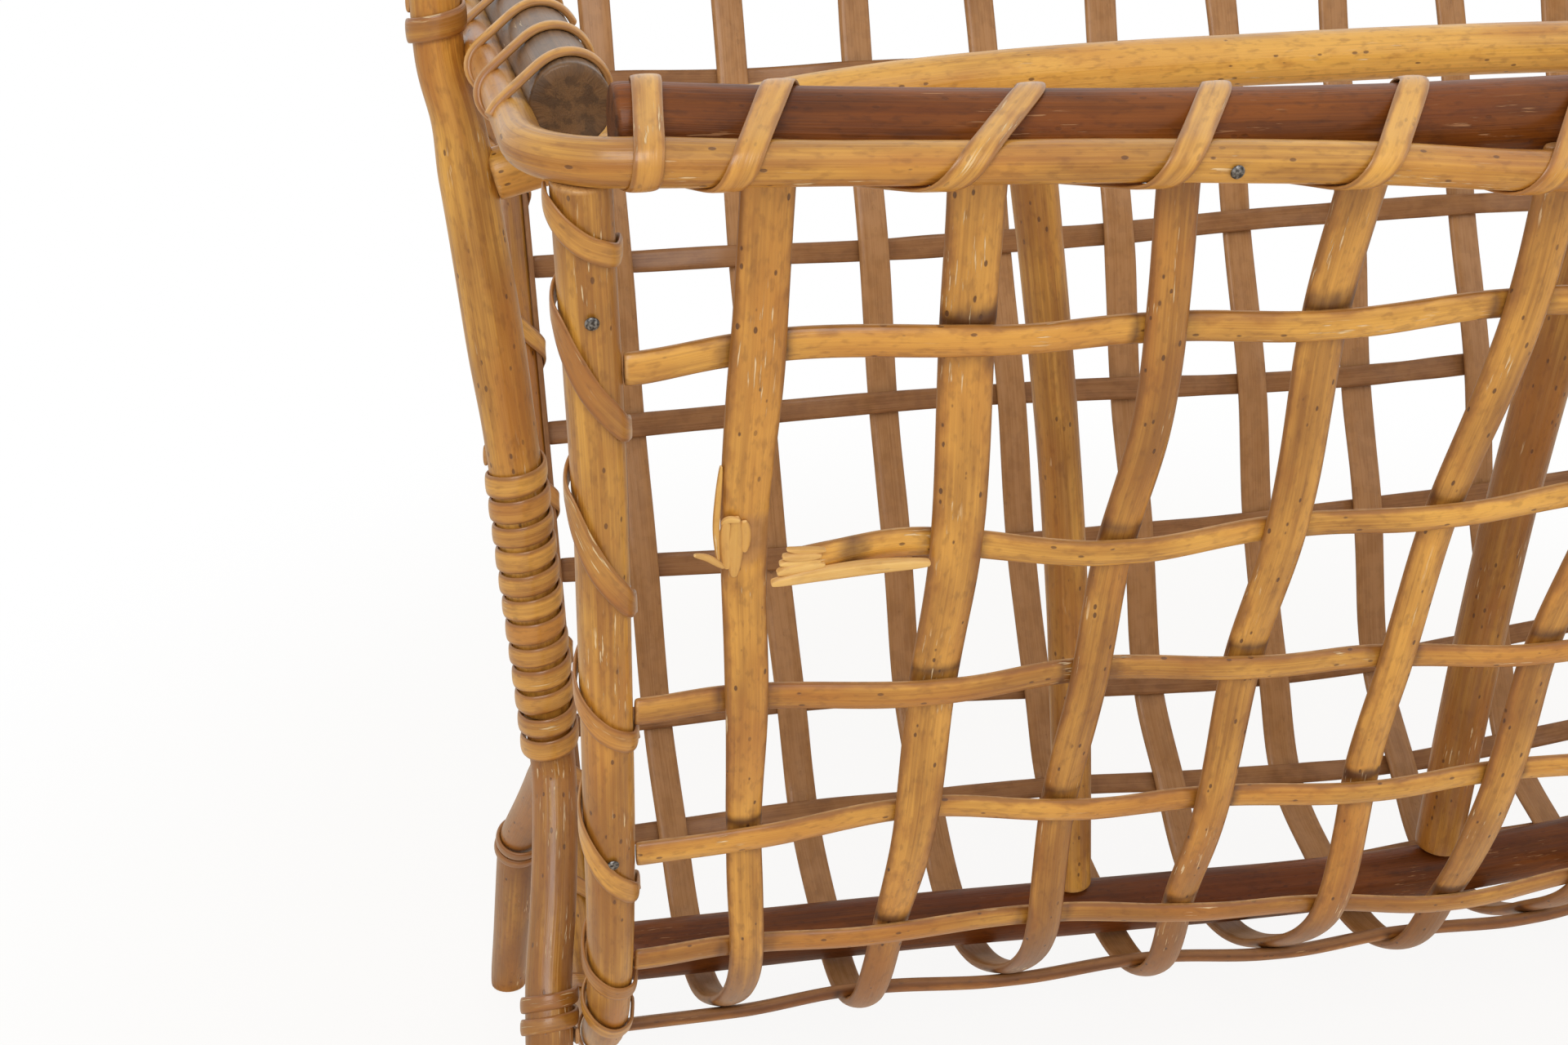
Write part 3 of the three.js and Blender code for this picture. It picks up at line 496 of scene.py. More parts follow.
ribWander = {
    1: [(0, -0.5), (40, -1.5), (85, -2.6), (150, -0.8), (215, 1.2), (255, 3), (330, 1), (700, 0)],
    2: [(0, -1.2), (40, 1), (95, 3.6), (195, 1.6), (265, -0.5), (400, 1.5), (560, -1), (700, 0.5)],
    3: [(0, -1.2), (40, 2), (80, 4), (115, 1), (180, -1.4), (230, -1.2), (264, 1.5), (420, -1), (700, 0)],
    4: [(0, -0.5), (40, -1.6), (97, 0.2), (165, -1.6), (237, -2), (298, 4), (420, 1), (700, -0.5)],
    5: [(0, 2), (44, 3.6), (75, 2.6), (115, -0.6), (170, -3), (218, 0.4), (258, 2.3), (420, -1), (700, 0.4)],
    6: [(0, 1), (60, 2), (177, -1.7), (211, -2.5), (250, 0), (430, 1.5), (700, 0)],
    7: [(0, -1), (70, 1.8), (150, -1.6), (240, 1.2), (430, -1.2), (700, 0)],
    8: [(0, 0.6), (90, -2.2), (180, 1), (260, -1), (440, 1.2), (700, 0)],
    9: [(0, 0), (80, 1.6), (170, -1.4), (250, 1.6), (430, 0.8), (700, 0)],
}


def rowAt(row, x):
    return (row["s"] + curve(row["wander"], x)) * mm


def ribAt(i, s):
    return ribX(i) + curve(ribWander[i], s) * mm


# How far the end frames stand outwards, in mm at places along the U

frameBow = [(0, 4), (25, 3.2), (50, 2.2), (90, 0.9), (112, 0.6), (160, 0.1), (240, -0.1), (330, 0), (700, 0)]


def frameSway(s):
    return curve(frameBow, s) * mm


# Widths of the ribs in mm at places along the U, broad at the top and shaved narrower below

ribWidths = {
    1: [(0, 11.5), (60, 12.5), (120, 10.5), (200, 9), (700, 10)],
    2: [(0, 12.5), (100, 12.2), (170, 11.8), (260, 9.5), (700, 10.5)],
    3: [(0, 9.8), (150, 9.8), (700, 10)],
    4: [(0, 12), (150, 10.6), (260, 9.5), (700, 10)],
    5: [(0, 11), (115, 9.4), (300, 10.4), (700, 11)],
}
ribs = {
    "width": 10.8, "halfHeight": 1.8 * mm, "topAboveCane": 0.5 * mm, "stainAndShadeShift": 5 * mm, "stainAndShadeReach": 3 * mm,
    "chipAt": 98 * mm, "chipReach": 8 * mm, "chipDepth": 0.35, "tones": {1: 0.35, 2: 0.1, 3: -0.5},
    "shade": [(0, 0), (235, 0), (275, -1.4), (400, -1.9), (520, -1.6), (700, -1.3)],  # painted shade: darker below and behind, inside the basket
}
weavers = {
    "side": (3.65 * mm, 1.5 * mm), "bottom": (3.5 * mm, 1.9 * mm),  # half width and half height
    "rises": [1.9, 2.0, 1.7, 1.45, 1.2, 1.1, 1.1, 1.1, 1.7, 1.7, 1.7, 1.7, 1.7],  # mm off the cradle's face
    "plateau": 3.6 * mm, "endX": 208.7 * mm, "endInset": -1 * mm, "gap": 0.1 * mm,
    # the back weavers' low tones paint the shade inside the basket
    "tones": [0.6, 0.4, -0.35, 0.1, -0.7, 0.0, -0.3, 0.2, -1.1, -0.8, -1.0, -0.7, -0.9],
    "stainAndShadeFrom": 6.4 * mm, "stainAndShadeReach": 3 * mm, "brokenX": -172 * mm, "markX": -157 * mm, "markReach": 4 * mm,
    "tornWidth": [(0, 0.86), (5, 1.04), (25, 1.1), (60, 1)],
}


def weaverSide(rib, row):  # -1 where the weaver passes outside the rib
    return -1 if (rib + row) % 2 == 1 else 1


def weaverSize(row):
    return weavers["bottom" if rows[row - 1]["name"].startswith("bottom") else "side"]


def rise(row):
    return weavers["rises"][row - 1] * mm


def contact(row):
    return ribs["halfHeight"] + weaverSize(row)[1] + weavers["gap"]


def makeRib(i):
    start = rimDrop(ribX(i)) - ribs["topAboveCane"]
    s = np.arange(start, cradleLength - start, 3.5 * mm)
    crossings = [rowAt(row, ribX(i)) for row in rows]
    insets = [-weaverSide(i, n) * (contact(n) - rise(n)) for n in range(1, len(rows) + 1)]
    inset = ease(s, [start] + crossings + [cradleLength - start], [0] + insets + [0])
    line = wovenLine(s, ribAt(i, s), inset)
    run = s - start
    width = stepped(ribWidths.get(i, [(0, ribs["width"]), (700, ribs["width"])]), s) / 2 * mm
    width = width * (1 + waver(100 + i, run, 60 * mm, 0.03) + waver(120 + i, run, 18 * mm, 0.02))
    height = ribs["halfHeight"] * (1 + waver(140 + i, run, 40 * mm, 0.05))
    roll = waver(160 + i, run, 75 * mm, 0.1)
    stainAndShade = np.zeros(len(s))
    for n, c in enumerate(crossings, 1):  # stain with painted contact shade, darkest just above the weaver that covers it
        if weaverSide(i, n) < 0:
            above = np.clip(1.25 - np.abs(s - c + ribs["stainAndShadeShift"]) / ribs["stainAndShadeReach"], 0, 1)
            below = np.clip(1 - np.abs(s - c - ribs["stainAndShadeShift"]) / ribs["stainAndShadeReach"], 0, 1) * 0.45
            stainAndShade = np.maximum(stainAndShade, np.maximum(above, below))
    stainAndShade = stainAndShade * (0.75 + waver(180 + i, run, 30 * mm, 0.25))
    bare = np.zeros(len(s))
    if i == 1:  # a chip where the broken weaver crossed
        bare = np.clip(2.5 - 2.5 * np.abs(s - ribs["chipAt"]) / ribs["chipReach"], 0, 1)
        height = height - bare * ribs["chipDepth"] * mm
    piece = sweepCane(f"rib_{i}_cane", line, alongX, "split", width, height, 200 + i, roll=roll, stainAndShade=stainAndShade,
                      bare=bare, tone=ribs["tones"].get(i, 0.0) + stepped(ribs["shade"], s))
    dress(piece, "woven_rattan", f"rib_{i}")


for i in ribNumbers:
    makeRib(i)
print("ribs made")


def makeWeaver(number, row):
    broken = row["name"] == "front_weaver_2"
    endX = weavers["endX"] + float(frameSway(row["s"] * mm))
    startX = weavers["brokenX"] if broken else -endX
    x = np.append(np.arange(startX, endX - mm, 3 * mm), endX)
    places, insets = [startX], [-rise(number) if broken else weavers["endInset"]]
    for i in ribNumbers[1:] if broken else ribNumbers:
        centre = ribAt(i, rowAt(row, ribX(i)))
        side = weaverSide(i, number) * rise(number)
        places += [centre - weavers["plateau"], centre + weavers["plateau"]]
        insets += [side, side]
    inset = ease(x, places + [endX], insets + [weavers["endInset"]])
    s = rowAt(row, x)
    line = wovenLine(s, x, inset)
    along = profileAt(s)[1]
    run = x - x[0]
    width, height = weaverSize(number)
    width = width * (1 + waver(300 + number, run, 55 * mm, 0.08) + waver(320 + number, run, 15 * mm, 0.03))
    height = height * (1 + waver(340 + number, run, 40 * mm, 0.05))
    # stain with painted contact shade on the weaver beside the edges of each rib that covers it
    covered = [ribAt(i, rowAt(row, ribX(i))) for i in ribNumbers if weaverSide(i, number) > 0]
    edge = np.min([np.abs(np.abs(x - c) - weavers["stainAndShadeFrom"]) for c in covered], axis=0)
    stainAndShade = np.clip(1 - edge / weavers["stainAndShadeReach"], 0, 1) * (0.6 + waver(360 + number, run, 30 * mm, 0.3))
    if broken:  # torn to a ragged point, with a dark mark behind it
        places, shares = np.array(weavers["tornWidth"]).T
        width = width * np.interp(run, places * mm, shares)
        stainAndShade = stainAndShade + 0.6 * np.clip(1.4 - np.abs(x - weavers["markX"]) / weavers["markReach"], 0, 1)
    roll = waver(380 + number, run, 70 * mm, 0.12)
    piece = sweepCane(f"{row['name']}_cane", line, -along, "split", width, height, 400 + number, roll=roll,
                      stainAndShade=stainAndShade, tone=weavers["tones"][number - 1])
    # back and bottom weavers take the darker inside rattan, partly painted shade
    slot = "honey_rattan" if row["name"].startswith("front") else "aged_rattan"
    dress(piece, slot, row["name"])


for number, row in enumerate(rows, 1):
    makeWeaver(number, row)


# Torn fibres: half width, half height, seed, bareness and tone of thin strips through places given as x,
# place along the U and inset, in mm

torn = {
    "front_weaver_2_split": (2.1, 0.9, 900, 0.5, 0.1, [
        (-177, 108.6, -3.9), (-165, 107.5, -3.6), (-152, 107, -3.5), (-138, 108, -2.8)]),
    "front_weaver_2_fibre_1": (1.3, 0.9, 904, 0.5, 0.1, [
        (-174.4, 101.8, -2.9), (-171, 102.2, -3), (-165, 102.2, -3)]),
    "front_weaver_2_fibre_2": (1.6, 0.9, 905, 0.5, 0.1, [
        (-175.6, 106.2, -3.2), (-171, 105.4, -3.2), (-164, 105, -3)]),
    "front_weaver_2_fibre_3": (1.2, 0.9, 906, 0.5, 0.1, [
        (-175, 104, -2.6), (-171, 103.8, -2.8), (-165, 103.8, -2.8)]),
    "front_weaver_2_fibre_4": (0.9, 0.7, 907, 0.5, 0.1, [
        (-173.4, 99.9, -2.6), (-170, 100.6, -2.8), (-164, 101, -2.8)]),
    "rib_1_sliver": (0.8, 0.5, 901, 0.2, -0.4, [
        (-189, 76, -0.6), (-189.6, 84, -1.2), (-190, 93, -1.7), (-189.2, 103, -1.5)]),
    "rib_1_splinter": (0.9, 0.4, 902, 0.3, -1.2, [(-195.5, 98, -4), (-192, 100, -3), (-188, 104, -2)]),
    "rib_1_chip_1": (1.7, 0.4, 903, 0.25, -0.7, [
        (-187.6, 91, -1.2), (-187.4, 97, -0.7), (-186.9, 105.5, -0.6)]),
    "rib_1_chip_2": (1.9, 0.4, 909, 0.25, -0.7, [
        (-185.4, 90, -1.4), (-185.2, 97.5, -0.8), (-185.2, 108, -0.6)]),
    "rib_1_chip_3": (1.5, 0.4, 910, 0.25, -0.7, [
        (-183.4, 91.5, -1.2), (-183, 96, -0.7), (-182.9, 101, -0.6)]),
    "rib_1_curl": (1.1, 0.3, 908, 0.5, 0.1, [(-188.6, 92.2, -0.9), (-187, 90.4, -1.7), (-184.6, 90.8, -2.2)]),
}
for name, (halfWidth, halfHeight, seed, bare, tone, spots) in torn.items():
    x, s, inset = np.array(spots).T * mm
    line = smoothLine(wovenLine(s, x, inset), 1.2 * mm)
    share = np.linspace(0, 1, len(line))
    width = halfWidth * mm * (0.35 + 0.65 * np.sin(math.pi * share) ** 0.6)
    piece = sweepCane(name, line, None, "strip", width, halfHeight * mm, seed, -spotAt(s.mean())[2], bare=bare,
                      tone=tone, endRound=0.25 * mm, endShare=0.4)
    dress(piece, "woven_rattan", finish="torn_fibre")
print("weavers made")

# Rim: a dark pole inside the rib ends, a light cane bent round outside them, a pole along each end

rim = {
    "poleRadius": 9.5 * mm, "poleInset": 11.8 * mm, "poleEndX": 211.3 * mm, "poleLift": 1.5 * mm,
    "caneRadius": 4.5 * mm, "caneInset": -6.8 * mm, "scarf": 0.25 * mm,
    "caneLift": [(-207, 2.4), (-150, 3.2), (-100, 3.4), (-50, 1.6), (0, -2.4), (60, -1), (207, 2)],
    "sidePoleRadius": 9.2 * mm, "sidePoleEndY": 113 * mm, "sidePoleLift": 3.4 * mm, "sidePoleOut": 1.3 * mm,
    "sideLift": 2.4 * mm, "stout": 1.02, "bendStout": 0.14, "bendReach": 40 * mm,
}


def caneLift(x):  # the cane rises and dips along the front
    return curve(rim["caneLift"], x) * mm


def roundCane(name, line, radius, seed, slot, *nodes, swell=0.025, across=upright, **more):
    run = runAlong(line)
    size = radius * (1 + waver(seed, run, 70 * mm, swell) + waver(seed + 1, run, 20 * mm, swell * 0.4))
    oval = 1 + waver(seed + 2, run, 90 * mm, swell)
    piece = sweepCane(name, line, across, "round", size * oval, size / oval, seed + 3, **more)
    return dress(piece, slot, *nodes)


for label, atBack, seed in (("front", False, 500), ("back", True, 510)):
    x = np.linspace(-rim["poleEndX"], rim["poleEndX"], 110)
    s = cradleLength - rimDrop(x) if atBack else rimDrop(x)
    line = cradleLine(s, x, rim["poleInset"])
    line[:, 2] += rim["poleLift"] + waver(seed + 5, x + 0.3, 120 * mm, 0.6 * mm)
    node = f"{label}_top_pole"
    roundCane(f"{node}_wood", line, rim["poleRadius"], seed, "red_brown_pole", node, swell=0.015)

frontCane = cradleLine([0.0], 0.0, rim["caneInset"])[0]
backCane = cradleLine([cradleLength], 0.0, rim["caneInset"])[0]


def rimCaneLine():
    bend = np.linspace(0, math.pi / 2, 12)
    corner = cradle["rimCornerRadius"]
    longX = np.linspace(-cradle["rimCornerX"], cradle["rimCornerX"], 90)[1:-1]
    front = cradleLine(rimDrop(longX), longX, rim["caneInset"])
    back = cradleLine(cradleLength - rimDrop(longX), longX, rim["caneInset"])
    front[:, 2] += caneLift(longX)
    back[:, 2] += rim["sideLift"]
    corners = {}
    for side in (-1, 1):
        for cane, way in ((frontCane, -1), (backCane, 1)):
            centreY = cane[1] - way * corner
            corners[side, way] = np.stack([
                side * (cradle["rimCornerX"] + corner * np.cos(bend)),
                centreY + way * corner * np.sin(bend), np.full(len(bend), cane[2] + rim["sideLift"])], 1)
    half = len(back) // 2
    return np.vstack([
        back[:half][::-1] - [rim["scarf"], 0, 0], corners[-1, 1][::-1], corners[-1, -1], front,
        corners[1, -1][::-1], corners[1, 1], back[half:][::-1] + [rim["scarf"], 0, 0],
    ])


caneLine = rimCaneLine()
caneLine = resample(caneLine, np.arange(0, runAlong(caneLine)[-1], 3 * mm))
fromCorner = np.abs(np.abs(caneLine[:, 0]) - cradle["rimCornerX"])
bending = np.clip(1 - fromCorner / rim["bendReach"], 0, 1)
caneSize = rim["caneRadius"] * (rim["stout"] + rim["bendStout"] * bending)
roundCane("rim_cane_cane", caneLine, caneSize, 520, "honey_rattan", "rim_cane", swell=0.03, tone=-0.1)


def makeSidePole(node, side, seed):
    y = np.linspace(-rim["sidePoleEndY"], rim["sidePoleEndY"], 76)
    x = side * (cradle["endFrameX"] + rim["sidePoleOut"])
    line = lineOf(x, y, cradle["rimHeight"] + rim["sidePoleLift"])
    line[:, 0] += side * waver(seed + 5, y + 0.2, 90 * mm, 0.25 * mm)
    roundCane(f"{node}_wood", line, rim["sidePoleRadius"], seed, "grey_brown_pole", node, swell=0.015,
              endRound=1.2 * mm, endShare=0.9)


makeSidePole("left_top_pole", -1, 530)
makeSidePole("right_top_pole", 1, 540)
print("rim made")

# End frames with their liners, the bottom pole, the divider

frames = {
    "radius": 6.5 * mm, "frontTop": 3 * mm, "backTop": 9 * mm, "linerX": 209.3 * mm, "linerInset": 4 * mm,
    "linerTop": 8 * mm, "linerHalfWidth": 0.9 * mm, "linerHalfHeight": 0.8 * mm, "sway": (110 * mm, 0.3 * mm),
}
for label, side, seed in (("left", -1, 550), ("right", 1, 560)):
    s = np.arange(frames["frontTop"], cradleLength - frames["backTop"], 3.5 * mm)
    x = side * (cradle["endFrameX"] + frameSway(s)) + waver(seed + 5, s, *frames["sway"])
    node = f"{label}_end_frame"
    roundCane(f"{node}_cane", cradleLine(s, x, 0), frames["radius"], seed, "honey_rattan", node, across=alongX,
              tone=-0.45)
    s = np.arange(frames["linerTop"], cradleLength - frames["linerTop"], 3.5 * mm)
    line = cradleLine(s, side * (frames["linerX"] + frameSway(s)), frames["linerInset"])
    piece = sweepCane(f"{label}_end_liner_strip", line, alongX, "strip", frames["linerHalfWidth"],
                      frames["linerHalfHeight"], seed + 6, tone=-1.2)
    dress(piece, "aged_rattan", f"{label}_end_liner")

divider = {
    "poleRadius": 9 * mm, "poleZ": 62.9 * mm, "poleEndX": 203.2 * mm, "railRadius": 7 * mm,
    "poleSway": [(-203, 4.5), (-112, 1), (-35, -3.6), (30, -7), (65, -7.5), (130, -4.5), (203, 1)],
    "railDrop": 11.5 * mm, "railSag": 20 * mm, "railEndX": 229.2 * mm, "footZ": 72.2 * mm, "footGap": 0.6 * mm,
    "headGap": 0.8 * mm,
}


def poleSway(x):  # the pole hangs with the cradle's middle
    return curve(divider["poleSway"], x) * mm


x = np.linspace(-divider["poleEndX"], divider["poleEndX"], 100)
line = lineOf(x, cradle["postY"], divider["poleZ"] + poleSway(x))
roundCane("bottom_pole_wood", line, divider["poleRadius"], 570, "red_brown_pole", "bottom_pole", swell=0.015)


def railZ(x):
    return cradle["rimHeight"] - divider["railDrop"] - divider["railSag"] * np.abs(x / divider["railEndX"]) ** 3


x = np.linspace(-divider["railEndX"], divider["railEndX"], 130)
line = lineOf(x, cradle["postY"], railZ(x))
roundCane("divider_rail_cane", line, divider["railRadius"], 575, "honey_rattan", "divider_rail", swell=0.03,
          tone=0.9)

uprights = {
    "left": {"radius": 6.4 * mm, "bow": 4 * mm, "footX": -56.4 * mm, "headX": -86.6 * mm, "tone": -0.6},
    "right": {"radius": 8 * mm, "bow": -5 * mm, "footX": 76 * mm, "headX": 97 * mm, "tone": -1.0},
}
for seed, (label, stick) in enumerate(uprights.items(), 58):
    share = np.linspace(0, 1, 80)
    x = stick["footX"] + (stick["headX"] - stick["footX"]) * share + stick["bow"] * np.sin(math.pi * share)
    headZ = railZ(stick["headX"]) - divider["railRadius"] - divider["headGap"]
    footZ = divider["footZ"] + divider["footGap"] + float(poleSway(stick["footX"]))
    line = lineOf(x, cradle["postY"], footZ + (headZ - footZ) * share)
    node = f"divider_upright_{label}"
    roundCane(f"{node}_cane", line, stick["radius"], seed * 10, "honey_rattan", node, across=alongX, swell=0.04,
              tone=stick["tone"])
print("end frames and divider made")

# End posts and legs

posts = {
    "topZ": 364 * mm, "endZ": 158 * mm, "forkX": 222.7 * mm,
    "axis": [(139, 222.7), (158, 223.5), (200, 226), (246, 228.9), (270, 231), (296, 233.4), (316, 235.4),
             (333, 237.2), (344, 239.6), (364, 240.4)],
    "radius": [(139, 7.4), (246, 7.4), (270, 7.8), (316, 7.4), (333, 6.6), (364, 6.2)],
}
legs = {"radius": {-1: 6.8 * mm, 1: 6.4 * mm}, "gap": 0.15 * mm, "knee": [4, 6], "spots": [
    (0.9, 2, 157.4), (0, 2, 139), (1.2, 11.2, 127), (4, 24.5, 110), (7.6, 37.3, 93), (9, 45.5, 83),
    (9.8, 50, 73), (11.6, 63, 42), (13.8, 77, 8), (14.2, 78, 0),
]}


def postX(z):
    return curve(posts["axis"], z) * mm


def postRadius(z):
    return stepped(posts["radius"], z) * mm


def legPoints(side, back):
    return np.array([(side * (posts["forkX"] + out * mm), cradle["postY"] + back * reach * mm, z * mm)
                     for out, reach, z in legs["spots"]])


def makePost(node, side, seed):
    z = np.linspace(posts["topZ"], posts["endZ"], 80)
    line = lineOf(side * postX(z), cradle["postY"], z)
    roundCane(f"{node}_cane", line, postRadius(z), seed, "honey_rattan", node, across=alongX, swell=0.015,
              tone=-0.2)


def makeLeg(node, side, back, seed):
    line = smoothLine(legPoints(side, back))
    # a low tone darkens the legs with dirt and painted shade
    piece = roundCane(f"{node}_cane", line, legs["radius"][back], seed, "honey_rattan", node, across=alongX,
                      swell=0.03, tone=-1.2, endRound=0.6 * mm, endShare=0.9)
    bpy.context.view_layer.objects.active = piece
    bpy.ops.object.select_all(action="DESELECT")
    piece.select_set(True)
    editAll()
    bpy.ops.mesh.bisect(plane_co=(0, cradle["postY"] + back * legs["gap"], 0), plane_no=(0, -back, 0),
                        use_fill=True, clear_outer=True)
    bpy.ops.object.mode_set(mode="OBJECT")


for label, side, seed in (("left", -1, 600), ("right", 1, 620)):
    makePost(f"{label}_end_post", side, seed)
    makeLeg(f"front_{label}_leg", side, -1, seed + 5)
    makeLeg(f"back_{label}_leg", side, 1, seed + 10)
print("posts and legs made")

# Windings: a belt closes round a bundle of round canes, each a circle (u, v, radius)

beltStart = math.radians(22.5)


def beltAt(rounds, standoff, start, way, share):
    angle = start + way * np.linspace(0, 2 * math.pi, 361)
    centreU, centreV, radius = np.array(rounds).T
    reach = centreU[:, None] * np.cos(angle) + centreV[:, None] * np.sin(angle) + radius[:, None]
    best = reach.argmax(0)
    u = centreU[best] + (radius[best] + standoff) * np.cos(angle)
    v = centreV[best] + (radius[best] + standoff) * np.sin(angle)
    arc = np.concatenate([[0.0], np.cumsum(np.hypot(np.diff(u), np.diff(v)))])
    place = (share % 1.0) * arc[-1]
    turned = np.interp(place, arc, angle)
    return np.interp(place, arc, u), np.interp(place, arc, v), math.cos(turned), math.sin(turned)


def makeWinding(name, spots, sizes, seed, section="strip", tone=None):  # spots are points and ways out
    line, outward = np.array(spots).transpose(1, 0, 2)
    run = runAlong(line)
    width = sizes["halfWidth"] * (1 + waver(seed, run, 40 * mm, 0.07) + waver(seed + 1, run, 12 * mm, 0.03))
    piece = sweepCane(name, line, None, section, width, sizes["halfHeight"], seed + 2, unit(outward), tone=tone,
                      endRound=0.3 * mm, endShare=0.9)
    dress(piece, "cane_lashing", name.rsplit("_", 1)[0])


lashings = {
    "halfWidth": 3.1 * mm, "halfHeight": 0.5 * mm, "standoff": 0.85 * mm, "steps": 30, "firstStep": 4,
    "crest": 0.64,  # share of a turn at which it lies on the pole's top
    "endX": 203.6 * mm, "underShift": 19 * mm, "overShift": 5 * mm, "firstTurn": (-7.4, -0.4),
    "lastTurn": 5 * mm, "tail": 3 * mm,
    "lean": (-3, 4), "spread": 1.5,  # mm at the bottom and at the top, and how they vary
    "leans": {1: (-2.6, -1.8), 2: (-11.6, 8.5), 3: (-6.2, 5.8), 4: (-5.3, 8.2), 5: (-8, 7)},  # in front
}


def makeRimLashing(label, atBack, seed):
    picks = np.random.RandomState(seed)
    under, over = [[shift * mm - lashings["endX"]] for shift in lashings["firstTurn"]]
    for i in ribNumbers:
        lean = (picks.uniform(-lashings["spread"], lashings["spread"], 2) + lashings["lean"]) * mm
        if not atBack and i in lashings["leans"]:
            lean = np.array(lashings["leans"][i]) * mm
        under.append(ribX(i) - lashings["underShift"] + lean[0])
        over.append(ribX(i) + lashings["overShift"] + lean[1])
    under += [lashings["endX"] - lashings["lastTurn"], lashings["endX"] + lashings["tail"]]
    over.append(lashings["endX"])
    spots = []
    for t in range(len(over)):
        for k in range(0 if t else lashings["firstStep"], lashings["steps"]):
            share = k / lashings["steps"]
            x = float(np.interp(share, [0, lashings["crest"], 1], [under[t], over[t], under[t + 1]]))
            rounds = [(rim["poleInset"], rim["poleLift"], rim["poleRadius"]),
                      (rim["caneInset"], rim["sideLift"] if atBack else caneLift(x), rim["caneRadius"])]
            u, v, outU, outV = beltAt(rounds, lashings["standoff"], -math.pi / 2, -1, share)
            s = rimDrop(x) - v
            point, along, inward = spotAt(cradleLength - s if atBack else s)
            point = point + inward * u
            point[0] = x
            spots.append((point, inward * outU + along * outV * (1 if atBack else -1)))
    makeWinding(f"{label}_rim_lashing_strip", spots, lashings, seed)


makeRimLashing("front", False, 700)
makeRimLashing("back", True, 710)

sideWraps = {
    "halfWidth": 1.7 * mm, "halfHeight": 0.9 * mm, "pitch": 30 * mm, "standoff": 1.1 * mm, "endY": 114 * mm,
    "postGap": 12.6 * mm, "steps": 30, "lastLoop": 0.45,  # the end is tucked in on the inner side
}


def makeSideLashing(name, side, startY, endY, seed):
    loops = (endY - startY) // sideWraps["pitch"] + sideWraps["lastLoop"]
    caneZ = (frontCane[2] + backCane[2]) / 2 + rim["sideLift"]
    poleX, poleZ = cradle["endFrameX"] + rim["sidePoleOut"], cradle["rimHeight"] + rim["sidePoleLift"]
    rounds = [(poleX, poleZ, rim["sidePoleRadius"]), (cradle["sideCaneX"], caneZ, rim["caneRadius"])]
    spots = []
    for k in range(int(loops * sideWraps["steps"]) + 1):
        turns = k / sideWraps["steps"]
        u, v, outU, outV = beltAt(rounds, sideWraps["standoff"], beltStart, 1, turns)
        spots.append(((side * u, startY + turns * sideWraps["pitch"], v), (side * outU, 0, outV)))
    makeWinding(name, spots, sideWraps, seed, section="split")


for label, side, seed in (("left", -1, 720), ("right", 1, 740)):
    before, behind = cradle["postY"] - sideWraps["postGap"], cradle["postY"] + sideWraps["postGap"]
    makeSideLashing(f"{label}_front_side_lashing_cane", side, -sideWraps["endY"], before, seed)
    makeSideLashing(f"{label}_back_side_lashing_cane", side, behind, sideWraps["endY"], seed + 5)

frameWraps = {
    "standoff": 0.85 * mm, "steps": 26, "firstStep": 10, "halfWidth": 2.7 * mm, "halfHeight": 0.5 * mm,
    "linerRadius": 1.2 * mm, "usual": 0.45,  # share of a turn's drop made behind the frame
    "behind": {0: 0.4, 1: 0.3, 2: 0.3, 3: 0.6, 4: 0.54, 5: 0.68},
    "front": [(0.5, 0), (0.66, 0.5), (0.82, 0.85), (1, 1)],  # steep on the outer side, level at the liner
    "turns": [0.5, 21, 66.5, 116, 156, 211, 251, 276, 325, 371, 412, 458, 508, 559, 614, 664],
}


def makeFrameLashing(label, side, seed):  # each turn ends at the liner, between two weavers
    rounds = [(0, 0, frames["radius"]),
              (cradle["endFrameX"] - frames["linerX"], frames["linerInset"], frameWraps["linerRadius"])]
    turns = np.array(frameWraps["turns"]) * mm
    spots = []
    for turn in range(len(turns) - 1):
        behind = frameWraps["behind"].get(turn, frameWraps["usual"])
        for k in range(0 if turn else frameWraps["firstStep"], frameWraps["steps"]):
            share = k / frameWraps["steps"]
            u, v, outU, outV = beltAt(rounds, frameWraps["standoff"], 0, 1, share)
            drop = behind + (1 - behind) * np.interp(share, *zip(*frameWraps["front"]))
            drop = drop if share > 0.5 else behind * share / 0.5
            s = turns[turn] + (turns[turn + 1] - turns[turn]) * drop
            point, along, inward = spotAt(s)
            point, out = point + inward * v, inward * outV
            point[0] = side * (cradle["endFrameX"] + float(frameSway(s)) - u)
            out[0] = -side * outU
            spots.append((point, out))
    makeWinding(f"{label}_frame_lashing_strip", spots, frameWraps, seed)


makeFrameLashing("left", -1, 760)
makeFrameLashing("right", 1, 770)

bindings = {
    "halfWidth": 2.95 * mm, "halfHeight": 0.6 * mm, "pitch": 7.6 * mm, "standoff": 0.85 * mm, "loops": 12,
    "startZ": 238 * mm, "topStartZ": 360.8 * mm, "steps": 24, "legsFrom": 6 * mm, "legsOut": 2 * mm,
}


def makePostWinding(name, side, startZ, loops, seed):
    spots = []
    for k in range(loops * bindings["steps"] + 1):
        turns = k / bindings["steps"]
        z = startZ - turns * bindings["pitch"]
        rounds = [(0, 0, float(postRadius(z)))]
        if z < posts["endZ"] + bindings["legsFrom"]:
            rounds += [(0, back * bindings["legsOut"], legs["radius"][-1]) for back in (-1, 1)]
        u, v, outU, outV = beltAt(rounds, bindings["standoff"], beltStart, 1, turns)
        spots.append(((side * (postX(z) + u), cradle["postY"] + v, z), (side * outU, outV, 0)))
    makeWinding(name, spots, bindings, seed)


